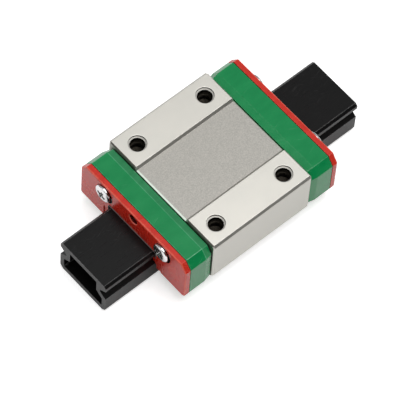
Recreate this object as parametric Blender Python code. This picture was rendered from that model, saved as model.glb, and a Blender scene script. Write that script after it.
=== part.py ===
"""Miniature profile-rail guide: a short recirculating-ball carriage parked on its plastic transport rail.

Metres, +Z up. +X runs along the rail towards its far end and +Y to the left of someone facing that way.
The origin is under the carriage's centre, on the face that the rail lies on.

Driving dimensions come first, then what follows from them, then one function for each kind of piece.
Everything at one end of the carriage is built in an end frame whose +X points out of the carriage; the
front end's frame is turned half a turn about Z.
"""

import math

import bmesh
import bpy
from mathutils import Matrix, Vector

# Transport rail: a hollow plastic extrusion that keeps the balls in while the carriage is off its own rail
RAIL_LENGTH = 0.0564
RAIL_SIDE_OFFSET = 0.0075  # the rail's side inside the block's side
RAIL_PARKING_SHIFT = 0.0005  # how far the rail's middle lies ahead of the parked carriage's middle
RAIL_TOP_EDGE = 0.0003
RAIL_FOOT_EDGE = 0.0007
RAIL_ROOF = 0.0010
RAIL_FLOOR = 0.0010
RAIL_WALL = 0.0011
RAIL_WEB = 0.0009  # between the hollow and the bottom of a ball groove
FLANK_ANGLE = math.radians(35.0)  # of a ball groove's two flanks, from level
RAIL_TRACK_GAP = 0.00015  # between a loaded ball and the plastic groove

# Balls and their closed path
BALL_DIAMETER = 0.002381
BALLS_PER_CIRCUIT = 21
BALL_LINE_DROP = 0.0026  # ball line below the rail's top
BALL_STANDOFF = 0.0003  # the loaded balls' centres beyond the rail's side
TRACK_GAP = 0.0001  # around a ball in the steel and in the end caps
TURN_RADIUS = 0.0020

# Steel block
ASSEMBLY_HEIGHT = 0.0130
BLOCK_WIDTH = 0.0270
BLOCK_LENGTH = 0.0217
BLOCK_DECK = 0.0046  # steel between the mounting pads and the channel over the rail
BLOCK_SKIRT = 0.0024  # how far the block reaches below the ball line
BLOCK_TOP_EDGE = 0.0004
BLOCK_FOOT_EDGE = 0.0005
BLOCK_END_EDGE = 0.0002
CHANNEL_GAP = 0.0004  # between the rail and the steel channel over it
CHANNEL_EDGE = 0.0003
PAD_WIDTH = 0.00685  # of each ground mounting pad
RELIEF_DEPTH = 0.00045  # of the lowered strip between the two pads

# Tapped mounting holes, M3
MOUNT_END_MARGIN = 0.00335  # hole axis from the block's end
MOUNT_SIDE_MARGIN = 0.0035  # hole axis from the block's side
MOUNT_BORE = 0.0025
MOUNT_MOUTH = 0.0034
MOUNT_DEPTH = 0.0035
DRILL_POINT_ANGLE = math.radians(118.0)

# End caps
SEAM = 0.0002  # between neighbouring pieces along X
CAP_DROP = 0.0004  # cap top below the mounting pads
CAP_SIDE_DROP = 0.0001  # cap side inside the block's side
CAP_CORNER_WIDTH = 0.0013
CAP_CORNER_HEIGHT = 0.0017
CAP_FOOT_RADIUS = 0.0006
CAP_UNDERSIDE_LIFT = 0.0001
CAP_FRONT_WALL = 0.0014  # plastic between the ball turn and the cap's outer face
CAP_TAPER_LENGTH = 0.0013  # the sloping band next to the steel
CAP_TAPER_DEPTH = 0.0003
CAP_RAIL_GAP = 0.0005
CAP_OPENING_EDGE = 0.0003

# Return guides, the inner half of each ball turn
GUIDE_RIM_SET_BACK = 0.00035  # rim inside the balls' centre line
GUIDE_FLANGE = 0.0002  # flange beyond the ball track
GUIDE_GAP = 0.00015

# End seals
SEAL_THICKNESS = 0.0010
SEAL_EDGE_RADIUS = 0.0003
SEAL_RAIL_GAP = 0.0003
SEAL_LIP_WIDTH = 0.0011  # set-back lip beside the rail
SEAL_LIP_HEIGHT = 0.0033
SEAL_LIP_STEP = 0.0002

# Lubrication hole and the gallery that leads from it to both ball turns
LUBE_DROP = 0.0014  # hole centre below the cap's top
LUBE_MOUTH = 0.0020
LUBE_BORE = 0.0014
GALLERY_WIDTH = 0.0003
GALLERY_DEPTH = 0.0008
GALLERY_WALL = 0.0002  # plastic between the gallery and the rail opening

# Cap screws, M2 with a cross-recessed pan head
SCREW_SPACING = 0.0148
SCREW_DROP = 0.00025  # screw axis below the middle of the plastic over the rail opening
SCREW_DIAMETER = 0.0020
SCREW_HOLE_GAP = 0.0001
SCREW_GRIP = 0.0021  # thread length in the steel
SCREW_TIP_ROOM = 0.0003
HEAD_DIAMETER = 0.0035
HEAD_RIM = 0.0005
HEAD_DOME = 0.0004
HEAD_CROWN = 0.35  # flat middle of the dome, a share of the head's radius
HEAD_SINK = 0.0004  # depth of the counterbore in the seal
HEAD_GAP = 0.00015
RECESS_SPAN = 0.0020
RECESS_SLOT = 0.0006
RECESS_DEPTH = 0.0008
RECESS_TAPER = 0.45
SCREW_TURN = {
    "front_left": math.radians(15.0),
    "front_right": math.radians(52.0),
    "rear_left": math.radians(70.0),
    "rear_right": math.radians(33.0),
}

# Ball retaining wires
WIRE_DIAMETER = 0.0005
WIRE_BALL_GAP = 0.0001
WIRE_GAP = 0.0002
WIRE_BEND_RADIUS = 0.0008
WIRE_HOOK = 0.0018  # how far the bent end reaches into the cap

# Facets
BORE_STEPS = 24
SCREW_STEPS = 20
TURN_STEPS = 24
TRACK_STEPS = 14
DOME_STEPS = 4
FILLET_STEPS = 3
WIRE_BEND_STEPS = 5
CUT_MARGIN = 0.0010  # how far a cutter stands past the face that it opens

# What follows from the sizes above
CHANNEL_TOP_Z = ASSEMBLY_HEIGHT - BLOCK_DECK
RAIL_HEIGHT = CHANNEL_TOP_Z - CHANNEL_GAP
BLOCK_HALF = BLOCK_WIDTH / 2
RAIL_HALF = BLOCK_HALF - RAIL_SIDE_OFFSET
RAIL_FRONT_X = RAIL_PARKING_SHIFT - RAIL_LENGTH / 2
RAIL_REAR_X = RAIL_PARKING_SHIFT + RAIL_LENGTH / 2
BALL_RADIUS = BALL_DIAMETER / 2
TRACK_RADIUS = BALL_RADIUS + TRACK_GAP
BALL_LINE_Z = RAIL_HEIGHT - BALL_LINE_DROP
LOAD_Y = RAIL_HALF + BALL_STANDOFF
TURN_Y = LOAD_Y + TURN_RADIUS
RETURN_Y = LOAD_Y + 2 * TURN_RADIUS
WIRE_RADIUS = WIRE_DIAMETER / 2
WIRE_Y = LOAD_Y - BALL_RADIUS - WIRE_BALL_GAP - WIRE_RADIUS
GROOVE_FLOOR_Y = WIRE_Y - WIRE_RADIUS - WIRE_GAP
BLOCK_END_X = BLOCK_LENGTH / 2
BLOCK_UNDERSIDE_Z = BALL_LINE_Z - BLOCK_SKIRT
CHANNEL_HALF = RAIL_HALF + CHANNEL_GAP
RELIEF_HALF = BLOCK_HALF - PAD_WIDTH
MOUNT_X = BLOCK_END_X - MOUNT_END_MARGIN
MOUNT_Y = BLOCK_HALF - MOUNT_SIDE_MARGIN
CAP_BACK_X = BLOCK_END_X + SEAM
CAP_FACE_X = CAP_BACK_X + TURN_RADIUS + TRACK_RADIUS + CAP_FRONT_WALL
CAP_TOP_Z = ASSEMBLY_HEIGHT - CAP_DROP
CAP_BOTTOM_Z = BLOCK_UNDERSIDE_Z + CAP_UNDERSIDE_LIFT
CAP_HALF = BLOCK_HALF - CAP_SIDE_DROP
CAP_OPENING_HALF = RAIL_HALF + CAP_RAIL_GAP
CAP_OPENING_TOP_Z = RAIL_HEIGHT + CAP_RAIL_GAP
GUIDE_RIM = TURN_RADIUS - GUIDE_RIM_SET_BACK
GUIDE_HALF_HEIGHT = TRACK_RADIUS + GUIDE_FLANGE
SEAL_BACK_X = CAP_FACE_X + SEAM
SEAL_FACE_X = SEAL_BACK_X + SEAL_THICKNESS
SEAL_OPENING_HALF = RAIL_HALF + SEAL_RAIL_GAP
SEAL_OPENING_TOP_Z = RAIL_HEIGHT + SEAL_RAIL_GAP
LUBE_Z = CAP_TOP_Z - LUBE_DROP
SCREW_Y = SCREW_SPACING / 2
SCREW_Z = (CAP_OPENING_TOP_Z + CAP_TOP_Z) / 2 - SCREW_DROP
SCREW_HOLE_RADIUS = SCREW_DIAMETER / 2 + SCREW_HOLE_GAP
HEAD_SEAT_X = SEAL_FACE_X - HEAD_SINK
SCREW_TIP_X = BLOCK_END_X - SCREW_GRIP
WIRE_END_X = CAP_FACE_X - WIRE_GAP - WIRE_RADIUS
WIRE_TIP_Y = CAP_OPENING_HALF + WIRE_HOOK


# Scene and material helpers

def clear_scene():
    for thing in list(bpy.data.objects):
        bpy.data.objects.remove(thing, do_unlink=True)


def make_material(name, colour, roughness, metallic):
    material = bpy.data.materials.new(name)
    material.use_nodes = True
    shader = material.node_tree.nodes["Principled BSDF"]
    shader.inputs["Base Color"].default_value = (*colour, 1.0)
    shader.inputs["Roughness"].default_value = roughness
    shader.inputs["Metallic"].default_value = metallic
    return material


def make_materials():
    return {
        "rail_plastic": make_material("rail_plastic", (0.018, 0.018, 0.018), 0.45, 0.0),
        "block_steel": make_material("block_steel", (0.68, 0.66, 0.60), 0.32, 1.0),
        "cap_plastic": make_material("cap_plastic", (0.018, 0.28, 0.095), 0.28, 0.0),
        "seal_plastic": make_material("seal_plastic", (0.50, 0.028, 0.020), 0.30, 0.0),
        "screw_steel": make_material("screw_steel", (0.80, 0.80, 0.82), 0.12, 1.0),
        "guide_plastic": make_material("guide_plastic", (0.75, 0.74, 0.68), 0.40, 0.0),
        "ball_steel": make_material("ball_steel", (0.72, 0.72, 0.74), 0.08, 1.0),
        "wire_steel": make_material("wire_steel", (0.60, 0.60, 0.62), 0.25, 1.0),
    }


def add_empty(name, location, turn=0.0, parent=None):
    empty = bpy.data.objects.new(name, None)
    empty.empty_display_size = RAIL_HALF
    empty.location = location
    empty.rotation_euler.z = turn
    empty.parent = parent
    bpy.context.collection.objects.link(empty)
    return empty


def add_piece(name, data, material=None, parent=None, location=(0.0, 0.0, 0.0)):
    """A new object from a mesh or a curve, smooth where its faces meet gently."""
    piece = bpy.data.objects.new(name, data)
    piece.location = location
    piece.parent = parent
    if material:
        data.materials.append(material)
    bpy.context.collection.objects.link(piece)
    return piece


def mesh_from(bm, name):
    bmesh.ops.recalc_face_normals(bm, faces=bm.faces)
    mesh = bpy.data.meshes.new(name)
    bm.to_mesh(mesh)
    bm.free()
    mesh.shade_smooth()
    mesh.set_sharp_from_angle(angle=math.radians(30.0))
    return mesh


def cut(piece, cutters):
    """Takes each cutter's shape out of the piece; the cutters stay as wire guides."""
    for cutter in cutters:
        cutter.parent = piece.parent
        cutter.hide_render = True
        cutter.display_type = "WIRE"
        boolean = piece.modifiers.new(cutter.name, "BOOLEAN")
        boolean.operation = "DIFFERENCE"
        boolean.solver = "EXACT"
        boolean.object = cutter


# Outlines, lists of (y, z) points

def arc(centre, radius, start, end, steps):
    angles = [start + (end - start) * i / steps for i in range(steps + 1)]
    return [(centre[0] + radius * math.cos(a), centre[1] + radius * math.sin(a)) for a in angles]


def whole_outline(half):
    """Both sides of an outline whose +Y half runs from the top middle round to the bottom middle."""
    mirrored = [(-y, z) for y, z in reversed(half) if y > 0.0]
    return list(reversed(half + mirrored))


def inset_outline(points, distance):
    """The outline moved inwards by a distance, with its corners kept sharp."""
    moved = []
    for before, here, after in zip(points[-1:] + points[:-1], points, points[1:] + points[:1]):
        first = (Vector(here) - Vector(before)).normalized()
        second = (Vector(after) - Vector(here)).normalized()
        inward_first = Vector((-first.y, first.x))
        inward_second = Vector((-second.y, second.x))
        shift = (inward_first + inward_second) * (distance / (1.0 + inward_first.dot(inward_second)))
        moved.append((here[0] + shift.x, here[1] + shift.y))
    return moved


def loft_along_x(name, stations):
    """A closed solid through outlines of equal point count, each at its own x."""
    bm = bmesh.new()
    loops = [[bm.verts.new((x, y, z)) for y, z in outline] for x, outline in stations]
    for low, high in zip(loops, loops[1:]):
        for i in range(len(low)):
            j = (i + 1) % len(low)
            bm.faces.new((low[i], low[j], high[j], high[i]))
    bm.faces.new(list(reversed(loops[0])))
    bm.faces.new(loops[-1])
    return mesh_from(bm, name)


# Plain solids for turned pieces and cutters

def turned(name, profile, steps, axis="X"):
    """A solid of revolution about X or Z from (radius, height) points that start and end on the axis."""
    bm = bmesh.new()
    verts = [bm.verts.new((radius, 0.0, height)) for radius, height in profile]
    edges = [bm.edges.new(pair) for pair in zip(verts, verts[1:])]
    bmesh.ops.spin(
        bm, geom=verts + edges, cent=(0.0, 0.0, 0.0), axis=(0.0, 0.0, 1.0),
        angle=2 * math.pi, steps=steps, use_duplicate=False,
    )
    bmesh.ops.remove_doubles(bm, verts=bm.verts, dist=1e-7)
    if axis == "X":
        bmesh.ops.rotate(bm, verts=bm.verts, matrix=Matrix.Rotation(math.pi / 2, 3, "Y"))
    return mesh_from(bm, name)


def rod_profile(radius, low, high):
    return [(0.0, low), (radius, low), (radius, high), (0.0, high)]


def box(name, low, high):
    """A box between two corners."""
    bm = bmesh.new()
    bmesh.ops.create_cube(bm, size=1.0)
    size = Vector(high) - Vector(low)
    middle = (Vector(high) + Vector(low)) / 2
    bmesh.ops.scale(bm, vec=size, verts=bm.verts)
    bmesh.ops.translate(bm, vec=middle, verts=bm.verts)
    return mesh_from(bm, name)


def ring(name, radius, tube_radius, steps, tube_steps):
    """A torus about Z, its joints half a step off the axes."""
    bm = bmesh.new()
    points = arc((radius, 0.0), tube_radius, 0.0, 2 * math.pi, tube_steps)[:-1]
    verts = [bm.verts.new((r, 0.0, z)) for r, z in points]
    edges = [bm.edges.new((verts[i - 1], verts[i])) for i in range(tube_steps)]
    bmesh.ops.rotate(bm, verts=bm.verts, matrix=Matrix.Rotation(math.pi / steps, 3, "Z"))
    bmesh.ops.spin(
        bm, geom=verts + edges, cent=(0.0, 0.0, 0.0), axis=(0.0, 0.0, 1.0),
        angle=2 * math.pi, steps=steps, use_duplicate=False,
    )
    bmesh.ops.remove_doubles(bm, verts=bm.verts, dist=1e-7)
    return mesh_from(bm, name)


# Transport rail

def flank_height(y, wall=0.0):
    """How far a groove flank, thickened by a wall, lies from the ball line at a given y."""
    reach = BALL_RADIUS + RAIL_TRACK_GAP + wall
    return math.tan(FLANK_ANGLE) * (y - LOAD_Y) + reach / math.cos(FLANK_ANGLE)


def rail_outline():
    lip = flank_height(RAIL_HALF)
    floor = flank_height(GROOVE_FLOOR_Y)
    return whole_outline([
        (0.0, RAIL_HEIGHT),
        (RAIL_HALF - RAIL_TOP_EDGE, RAIL_HEIGHT),
        (RAIL_HALF, RAIL_HEIGHT - RAIL_TOP_EDGE),
        (RAIL_HALF, BALL_LINE_Z + lip),
        (GROOVE_FLOOR_Y, BALL_LINE_Z + floor),
        (GROOVE_FLOOR_Y, BALL_LINE_Z - floor),
        (RAIL_HALF, BALL_LINE_Z - lip),
        (RAIL_HALF, RAIL_FOOT_EDGE),
        (RAIL_HALF - RAIL_FOOT_EDGE, 0.0),
        (0.0, 0.0),
    ])


def rail_hollow_outline():
    neck = GROOVE_FLOOR_Y - RAIL_WEB
    foot = RAIL_HALF - RAIL_WALL
    return whole_outline([
        (0.0, RAIL_HEIGHT - RAIL_ROOF),
        (neck, RAIL_HEIGHT - RAIL_ROOF),
        (neck, BALL_LINE_Z - flank_height(neck, RAIL_WALL)),
        (foot, BALL_LINE_Z - flank_height(foot, RAIL_WALL)),
        (foot, RAIL_FLOOR),
        (0.0, RAIL_FLOOR),
    ])


def add_transport_rail(materials):
    outline = rail_outline()
    rail = add_piece(
        "dummy_rail",
        loft_along_x("dummy_rail", [(RAIL_FRONT_X, outline), (RAIL_REAR_X, outline)]),
        materials["rail_plastic"],
    )
    hollow = rail_hollow_outline()
    stations = [(RAIL_FRONT_X - CUT_MARGIN, hollow), (RAIL_REAR_X + CUT_MARGIN, hollow)]
    cut(rail, [add_piece("rail_hollow", loft_along_x("rail_hollow", stations))])


# Steel block

def block_outline():
    top = ASSEMBLY_HEIGHT
    relief_z = top - RELIEF_DEPTH
    mouth = math.acos((CHANNEL_HALF - LOAD_Y) / TRACK_RADIUS)
    raceway = arc((LOAD_Y, BALL_LINE_Z), TRACK_RADIUS, -mouth, mouth, TRACK_STEPS)
    return whole_outline([
        (0.0, relief_z),
        (RELIEF_HALF - RELIEF_DEPTH, relief_z),
        (RELIEF_HALF, top),
        (BLOCK_HALF - BLOCK_TOP_EDGE, top),
        (BLOCK_HALF, top - BLOCK_TOP_EDGE),
        (BLOCK_HALF, BLOCK_UNDERSIDE_Z + BLOCK_FOOT_EDGE),
        (BLOCK_HALF - BLOCK_FOOT_EDGE, BLOCK_UNDERSIDE_Z),
        (CHANNEL_HALF + CHANNEL_EDGE, BLOCK_UNDERSIDE_Z),
        (CHANNEL_HALF, BLOCK_UNDERSIDE_Z + CHANNEL_EDGE),
        *raceway,
        (CHANNEL_HALF, CHANNEL_TOP_Z - CHANNEL_EDGE),
        (CHANNEL_HALF - CHANNEL_EDGE, CHANNEL_TOP_Z),
        (0.0, CHANNEL_TOP_Z),
    ])


def mount_hole_profile():
    """A tapped hole's drill point, bore and countersunk mouth, measured up from the pad."""
    bore = MOUNT_BORE / 2
    mouth = MOUNT_MOUTH / 2
    point = bore / math.tan(DRILL_POINT_ANGLE / 2)
    return [
        (0.0, -MOUNT_DEPTH - point),
        (bore, -MOUNT_DEPTH),
        (bore, bore - mouth),
        (mouth, 0.0),
        (mouth, CUT_MARGIN),
        (0.0, CUT_MARGIN),
    ]


def add_steel_block(materials, carriage):
    outline = block_outline()
    chamfered = inset_outline(outline, BLOCK_END_EDGE)
    stations = [
        (-BLOCK_END_X, chamfered),
        (BLOCK_END_EDGE - BLOCK_END_X, outline),
        (BLOCK_END_X - BLOCK_END_EDGE, outline),
        (BLOCK_END_X, chamfered),
    ]
    block = add_piece("steel_block", loft_along_x("steel_block", stations),
                      materials["block_steel"], carriage)
    cutters = []
    for side in (1, -1):
        through = rod_profile(TRACK_RADIUS, -BLOCK_END_X - CUT_MARGIN, BLOCK_END_X + CUT_MARGIN)
        cutters.append(add_piece("return_bore", turned("return_bore", through, BORE_STEPS),
                                 location=(0.0, side * RETURN_Y, BALL_LINE_Z)))
        for end in (1, -1):
            hole = turned("mount_hole", mount_hole_profile(), BORE_STEPS, axis="Z")
            cutters.append(add_piece("mount_hole", hole,
                                     location=(end * MOUNT_X, side * MOUNT_Y, ASSEMBLY_HEIGHT)))
            reach = SCREW_GRIP + SCREW_TIP_ROOM
            tapped = turned("tapped_end_hole", rod_profile(SCREW_HOLE_RADIUS, -reach, reach), SCREW_STEPS)
            cutters.append(add_piece("tapped_end_hole", tapped,
                                     location=(end * BLOCK_END_X, side * SCREW_Y, SCREW_Z)))
    cut(block, cutters)


# End caps

def shell_outer():
    """The outer half outline that the caps and the seals share."""
    foot_centre = (CAP_HALF - CAP_FOOT_RADIUS, CAP_BOTTOM_Z + CAP_FOOT_RADIUS)
    return [
        (0.0, CAP_TOP_Z),
        (CAP_HALF - CAP_CORNER_WIDTH, CAP_TOP_Z),
        (CAP_HALF, CAP_TOP_Z - CAP_CORNER_HEIGHT),
        *arc(foot_centre, CAP_FOOT_RADIUS, 0.0, -math.pi / 2, FILLET_STEPS),
    ]


def cap_outline():
    return whole_outline(shell_outer() + [
        (CAP_OPENING_HALF, CAP_BOTTOM_Z),
        (CAP_OPENING_HALF, CAP_OPENING_TOP_Z - CAP_OPENING_EDGE),
        (CAP_OPENING_HALF - CAP_OPENING_EDGE, CAP_OPENING_TOP_Z),
        (0.0, CAP_OPENING_TOP_Z),
    ])


def ball_turn_cutters(side):
    """The half-round ball tunnel and the pocket that takes the return guide."""
    centre = (CAP_BACK_X, side * TURN_Y, BALL_LINE_Z)
    tunnel = ring("ball_turn", TURN_RADIUS, TRACK_RADIUS, TURN_STEPS, TRACK_STEPS)
    half_height = GUIDE_HALF_HEIGHT + GUIDE_GAP
    pocket = turned("guide_pocket", rod_profile(GUIDE_RIM + GUIDE_GAP, -half_height, half_height),
                    TURN_STEPS, axis="Z")
    return [add_piece("ball_turn", tunnel, location=centre), add_piece("guide_pocket", pocket, location=centre)]


def gallery_cutters():
    """Grooves in the cap's back that lead grease from the hole over the rail and down to both turns."""
    low_x = CAP_BACK_X - CUT_MARGIN
    high_x = CAP_BACK_X + GALLERY_DEPTH
    inner = CAP_OPENING_HALF + GALLERY_WALL
    outer = inner + GALLERY_WIDTH
    ceiling = CAP_OPENING_TOP_Z + GALLERY_WALL
    top = ceiling + GALLERY_WIDTH
    half = GALLERY_WIDTH / 2
    cross = box("gallery", (low_x, -outer, ceiling), (high_x, outer, top))
    drop = box("gallery", (low_x, -half, ceiling + half), (high_x, half, LUBE_Z))
    legs = [
        box("gallery", (low_x, min(side * inner, side * outer), BALL_LINE_Z + TRACK_RADIUS),
            (high_x, max(side * inner, side * outer), ceiling + half))
        for side in (1, -1)
    ]
    return [add_piece("gallery", mesh) for mesh in (cross, drop, *legs)]


def wire_slot_cutter(side):
    """The slot in the cap's outer face where a wire's bent end lies."""
    half = WIRE_RADIUS + WIRE_GAP
    inner = side * (CAP_OPENING_HALF - CUT_MARGIN)
    outer = side * (WIRE_TIP_Y + WIRE_GAP)
    low = (WIRE_END_X - half, min(inner, outer), BALL_LINE_Z - half)
    high = (CAP_FACE_X + CUT_MARGIN, max(inner, outer), BALL_LINE_Z + half)
    return add_piece("wire_slot", box("wire_slot", low, high))


def add_end_cap(name, materials, end_frame):
    outline = cap_outline()
    tapered = inset_outline(outline, CAP_TAPER_DEPTH)
    stations = [
        (CAP_BACK_X, tapered),
        (CAP_BACK_X + CAP_TAPER_LENGTH, outline),
        (CAP_FACE_X, outline),
    ]
    cap = add_piece(name, loft_along_x(name, stations), materials["cap_plastic"], end_frame)
    through = (CAP_BACK_X - CUT_MARGIN, CAP_FACE_X + CUT_MARGIN)
    bore = turned("lube_bore", rod_profile(LUBE_BORE / 2, *through), SCREW_STEPS)
    cutters = [add_piece("lube_bore", bore, location=(0.0, 0.0, LUBE_Z))]
    for side in (1, -1):
        hole = turned("cap_screw_hole", rod_profile(SCREW_HOLE_RADIUS, *through), SCREW_STEPS)
        cutters.append(add_piece("cap_screw_hole", hole, location=(0.0, side * SCREW_Y, SCREW_Z)))
        cutters.extend(ball_turn_cutters(side))
        cutters.append(wire_slot_cutter(side))
    cut(cap, cutters + gallery_cutters())


def add_return_guide(name, materials, end_frame, side):
    """A half spool whose hollow rim is the inner side of the ball turn."""
    groove = math.acos((TURN_RADIUS - GUIDE_RIM) / TRACK_RADIUS)
    hollow = arc((TURN_RADIUS, 0.0), TRACK_RADIUS, math.pi + groove, math.pi - groove, TRACK_STEPS)
    profile = [
        (0.0, -GUIDE_HALF_HEIGHT),
        (GUIDE_RIM, -GUIDE_HALF_HEIGHT),
        *hollow,
        (GUIDE_RIM, GUIDE_HALF_HEIGHT),
        (0.0, GUIDE_HALF_HEIGHT),
    ]
    spool = turned(name, profile, TURN_STEPS, axis="Z")
    bm = bmesh.new()
    bm.from_mesh(spool)
    bmesh.ops.bisect_plane(
        bm, geom=bm.verts[:] + bm.edges[:] + bm.faces[:], dist=1e-7,
        plane_co=(0.0, 0.0, 0.0), plane_no=(1.0, 0.0, 0.0), clear_inner=True,
    )
    bmesh.ops.holes_fill(bm, edges=[edge for edge in bm.edges if edge.is_boundary])
    add_piece(name, mesh_from(bm, name), materials["guide_plastic"], end_frame,
              (CAP_BACK_X, side * TURN_Y, BALL_LINE_Z))


# End seals

def seal_outline():
    """The shared outer outline with an opening that follows the rail and enters its ball grooves."""
    root = flank_height(SEAL_OPENING_HALF, -SEAL_RAIL_GAP)
    tip_y = LOAD_Y - BALL_RADIUS
    tip = flank_height(tip_y, -SEAL_RAIL_GAP)
    return whole_outline(shell_outer() + [
        (SEAL_OPENING_HALF, CAP_BOTTOM_Z),
        (SEAL_OPENING_HALF, BALL_LINE_Z - root),
        (tip_y, BALL_LINE_Z - tip),
        (tip_y, BALL_LINE_Z + tip),
        (SEAL_OPENING_HALF, BALL_LINE_Z + root),
        (SEAL_OPENING_HALF, SEAL_OPENING_TOP_Z - RAIL_TOP_EDGE),
        (SEAL_OPENING_HALF - RAIL_TOP_EDGE, SEAL_OPENING_TOP_Z),
        (0.0, SEAL_OPENING_TOP_Z),
    ])


def add_end_seal(name, materials, end_frame):
    outline = seal_outline()
    stations = [(SEAL_BACK_X, outline)]
    for step in range(FILLET_STEPS + 1):
        angle = math.pi / 2 * step / FILLET_STEPS
        x = SEAL_FACE_X - SEAL_EDGE_RADIUS * (1.0 - math.sin(angle))
        stations.append((x, inset_outline(outline, SEAL_EDGE_RADIUS * (1.0 - math.cos(angle)))))
    seal = add_piece(name, loft_along_x(name, stations), materials["seal_plastic"], end_frame)
    mouth = rod_profile(LUBE_MOUTH / 2, SEAL_BACK_X - CUT_MARGIN, SEAL_FACE_X + CUT_MARGIN)
    cutters = [add_piece("lube_mouth", turned("lube_mouth", mouth, SCREW_STEPS), location=(0.0, 0.0, LUBE_Z))]
    counterbore = [
        (0.0, SEAL_BACK_X - CUT_MARGIN),
        (SCREW_HOLE_RADIUS, SEAL_BACK_X - CUT_MARGIN),
        (SCREW_HOLE_RADIUS, HEAD_SEAT_X),
        (HEAD_DIAMETER / 2 + HEAD_GAP, HEAD_SEAT_X),
        (HEAD_DIAMETER / 2 + HEAD_GAP, SEAL_FACE_X + CUT_MARGIN),
        (0.0, SEAL_FACE_X + CUT_MARGIN),
    ]
    lip_top_z = CAP_BOTTOM_Z + SEAL_LIP_HEIGHT
    for side in (1, -1):
        hole = turned("counterbore", counterbore, BORE_STEPS)
        cutters.append(add_piece("counterbore", hole, location=(0.0, side * SCREW_Y, SCREW_Z)))
        inner = 0.0
        outer = side * (SEAL_OPENING_HALF + SEAL_LIP_WIDTH)
        low = (SEAL_FACE_X - SEAL_LIP_STEP, min(inner, outer), CAP_BOTTOM_Z - CUT_MARGIN)
        high = (SEAL_FACE_X + CUT_MARGIN, max(inner, outer), lip_top_z)
        cutters.append(add_piece("lip_step", box("lip_step", low, high)))
    cut(seal, cutters)


# Cap screws

def screw_profile():
    """The whole screw from the middle of its domed head down to its tip, as (radius, x) points."""
    head = HEAD_DIAMETER / 2
    shank = SCREW_DIAMETER / 2
    crown = head * HEAD_CROWN
    seat = HEAD_SEAT_X + SEAM
    dome = [
        (crown + (head - crown) * math.sin(angle), seat + HEAD_RIM + HEAD_DOME * math.cos(angle))
        for angle in (math.pi / 2 * i / DOME_STEPS for i in range(DOME_STEPS + 1))
    ]
    return [
        (0.0, seat + HEAD_RIM + HEAD_DOME),
        *dome,
        (head, seat),
        (shank, seat),
        (shank, SCREW_TIP_X + shank / 2),
        (shank / 2, SCREW_TIP_X),
        (0.0, SCREW_TIP_X),
    ]


def cross_outline(span, slot):
    reach = span / 2
    half = slot / 2
    quarter = [(half, reach), (half, half), (reach, half)]
    points = []
    for turn in range(4):
        rotation = Matrix.Rotation(-math.pi / 2 * turn, 2)
        points.extend(tuple(rotation @ Vector(point)) for point in quarter)
    return list(reversed(points))


def add_cap_screw(name, materials, end_frame, side, turn):
    place = (0.0, side * SCREW_Y, SCREW_Z)
    screw = add_piece(name, turned(name, screw_profile(), SCREW_STEPS), materials["screw_steel"],
                      end_frame, place)
    top_x = HEAD_SEAT_X + SEAM + HEAD_RIM + HEAD_DOME
    floor = cross_outline(RECESS_SPAN * RECESS_TAPER, RECESS_SLOT * RECESS_TAPER)
    stations = [(top_x - RECESS_DEPTH, floor), (top_x + CUT_MARGIN / 2, cross_outline(RECESS_SPAN, RECESS_SLOT))]
    cross = add_piece("cross_recess", loft_along_x("cross_recess", stations), location=place)
    cross.rotation_euler.x = turn
    cut(screw, [cross])


# Balls and the wires that keep them in

def circuit_point(distance):
    """A point (x, y) on the closed ball path, that far along it from the front of the loaded run."""
    run = 2 * CAP_BACK_X
    turn = math.pi * TURN_RADIUS
    if distance < run:
        return distance - CAP_BACK_X, LOAD_Y
    distance -= run
    if distance < turn:
        angle = distance / TURN_RADIUS - math.pi / 2
        return CAP_BACK_X + TURN_RADIUS * math.cos(angle), TURN_Y + TURN_RADIUS * math.sin(angle)
    distance -= turn
    if distance < run:
        return CAP_BACK_X - distance, RETURN_Y
    angle = (distance - run) / TURN_RADIUS + math.pi / 2
    return -CAP_BACK_X + TURN_RADIUS * math.cos(angle), TURN_Y + TURN_RADIUS * math.sin(angle)


def ball_mesh():
    bm = bmesh.new()
    bmesh.ops.create_icosphere(bm, subdivisions=2, radius=BALL_RADIUS)
    return mesh_from(bm, "ball")


def add_ball_circuit(name, materials, carriage, side, mesh):
    length = 4 * CAP_BACK_X + 2 * math.pi * TURN_RADIUS
    pitch = length / BALLS_PER_CIRCUIT
    for i in range(BALLS_PER_CIRCUIT):
        x, y = circuit_point(pitch * (i + 0.5))
        add_piece(f"{name}_ball_{i + 1:02d}", mesh, None, carriage, (x, side * y, BALL_LINE_Z))


def add_retaining_wire(name, materials, carriage, side):
    """A wire in the rail groove beside the loaded balls, its ends bent out into the caps."""
    near = WIRE_END_X - WIRE_BEND_RADIUS
    bend_y = WIRE_Y + WIRE_BEND_RADIUS
    front = arc((-near, bend_y), WIRE_BEND_RADIUS, math.pi, 1.5 * math.pi, WIRE_BEND_STEPS)
    rear = arc((near, bend_y), WIRE_BEND_RADIUS, 1.5 * math.pi, 2 * math.pi, WIRE_BEND_STEPS)
    route = [(-WIRE_END_X, WIRE_TIP_Y), *front, *rear, (WIRE_END_X, WIRE_TIP_Y)]
    curve = bpy.data.curves.new(name, "CURVE")
    curve.dimensions = "3D"
    curve.bevel_depth = WIRE_RADIUS
    curve.bevel_resolution = 2
    curve.use_fill_caps = True
    spline = curve.splines.new("POLY")
    spline.points.add(len(route) - 1)
    for point, (x, y) in zip(spline.points, route):
        point.co = (x, side * y, 0.0, 1.0)
    add_piece(name, curve, materials["wire_steel"], carriage, (0.0, 0.0, BALL_LINE_Z))


# The whole object

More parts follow.
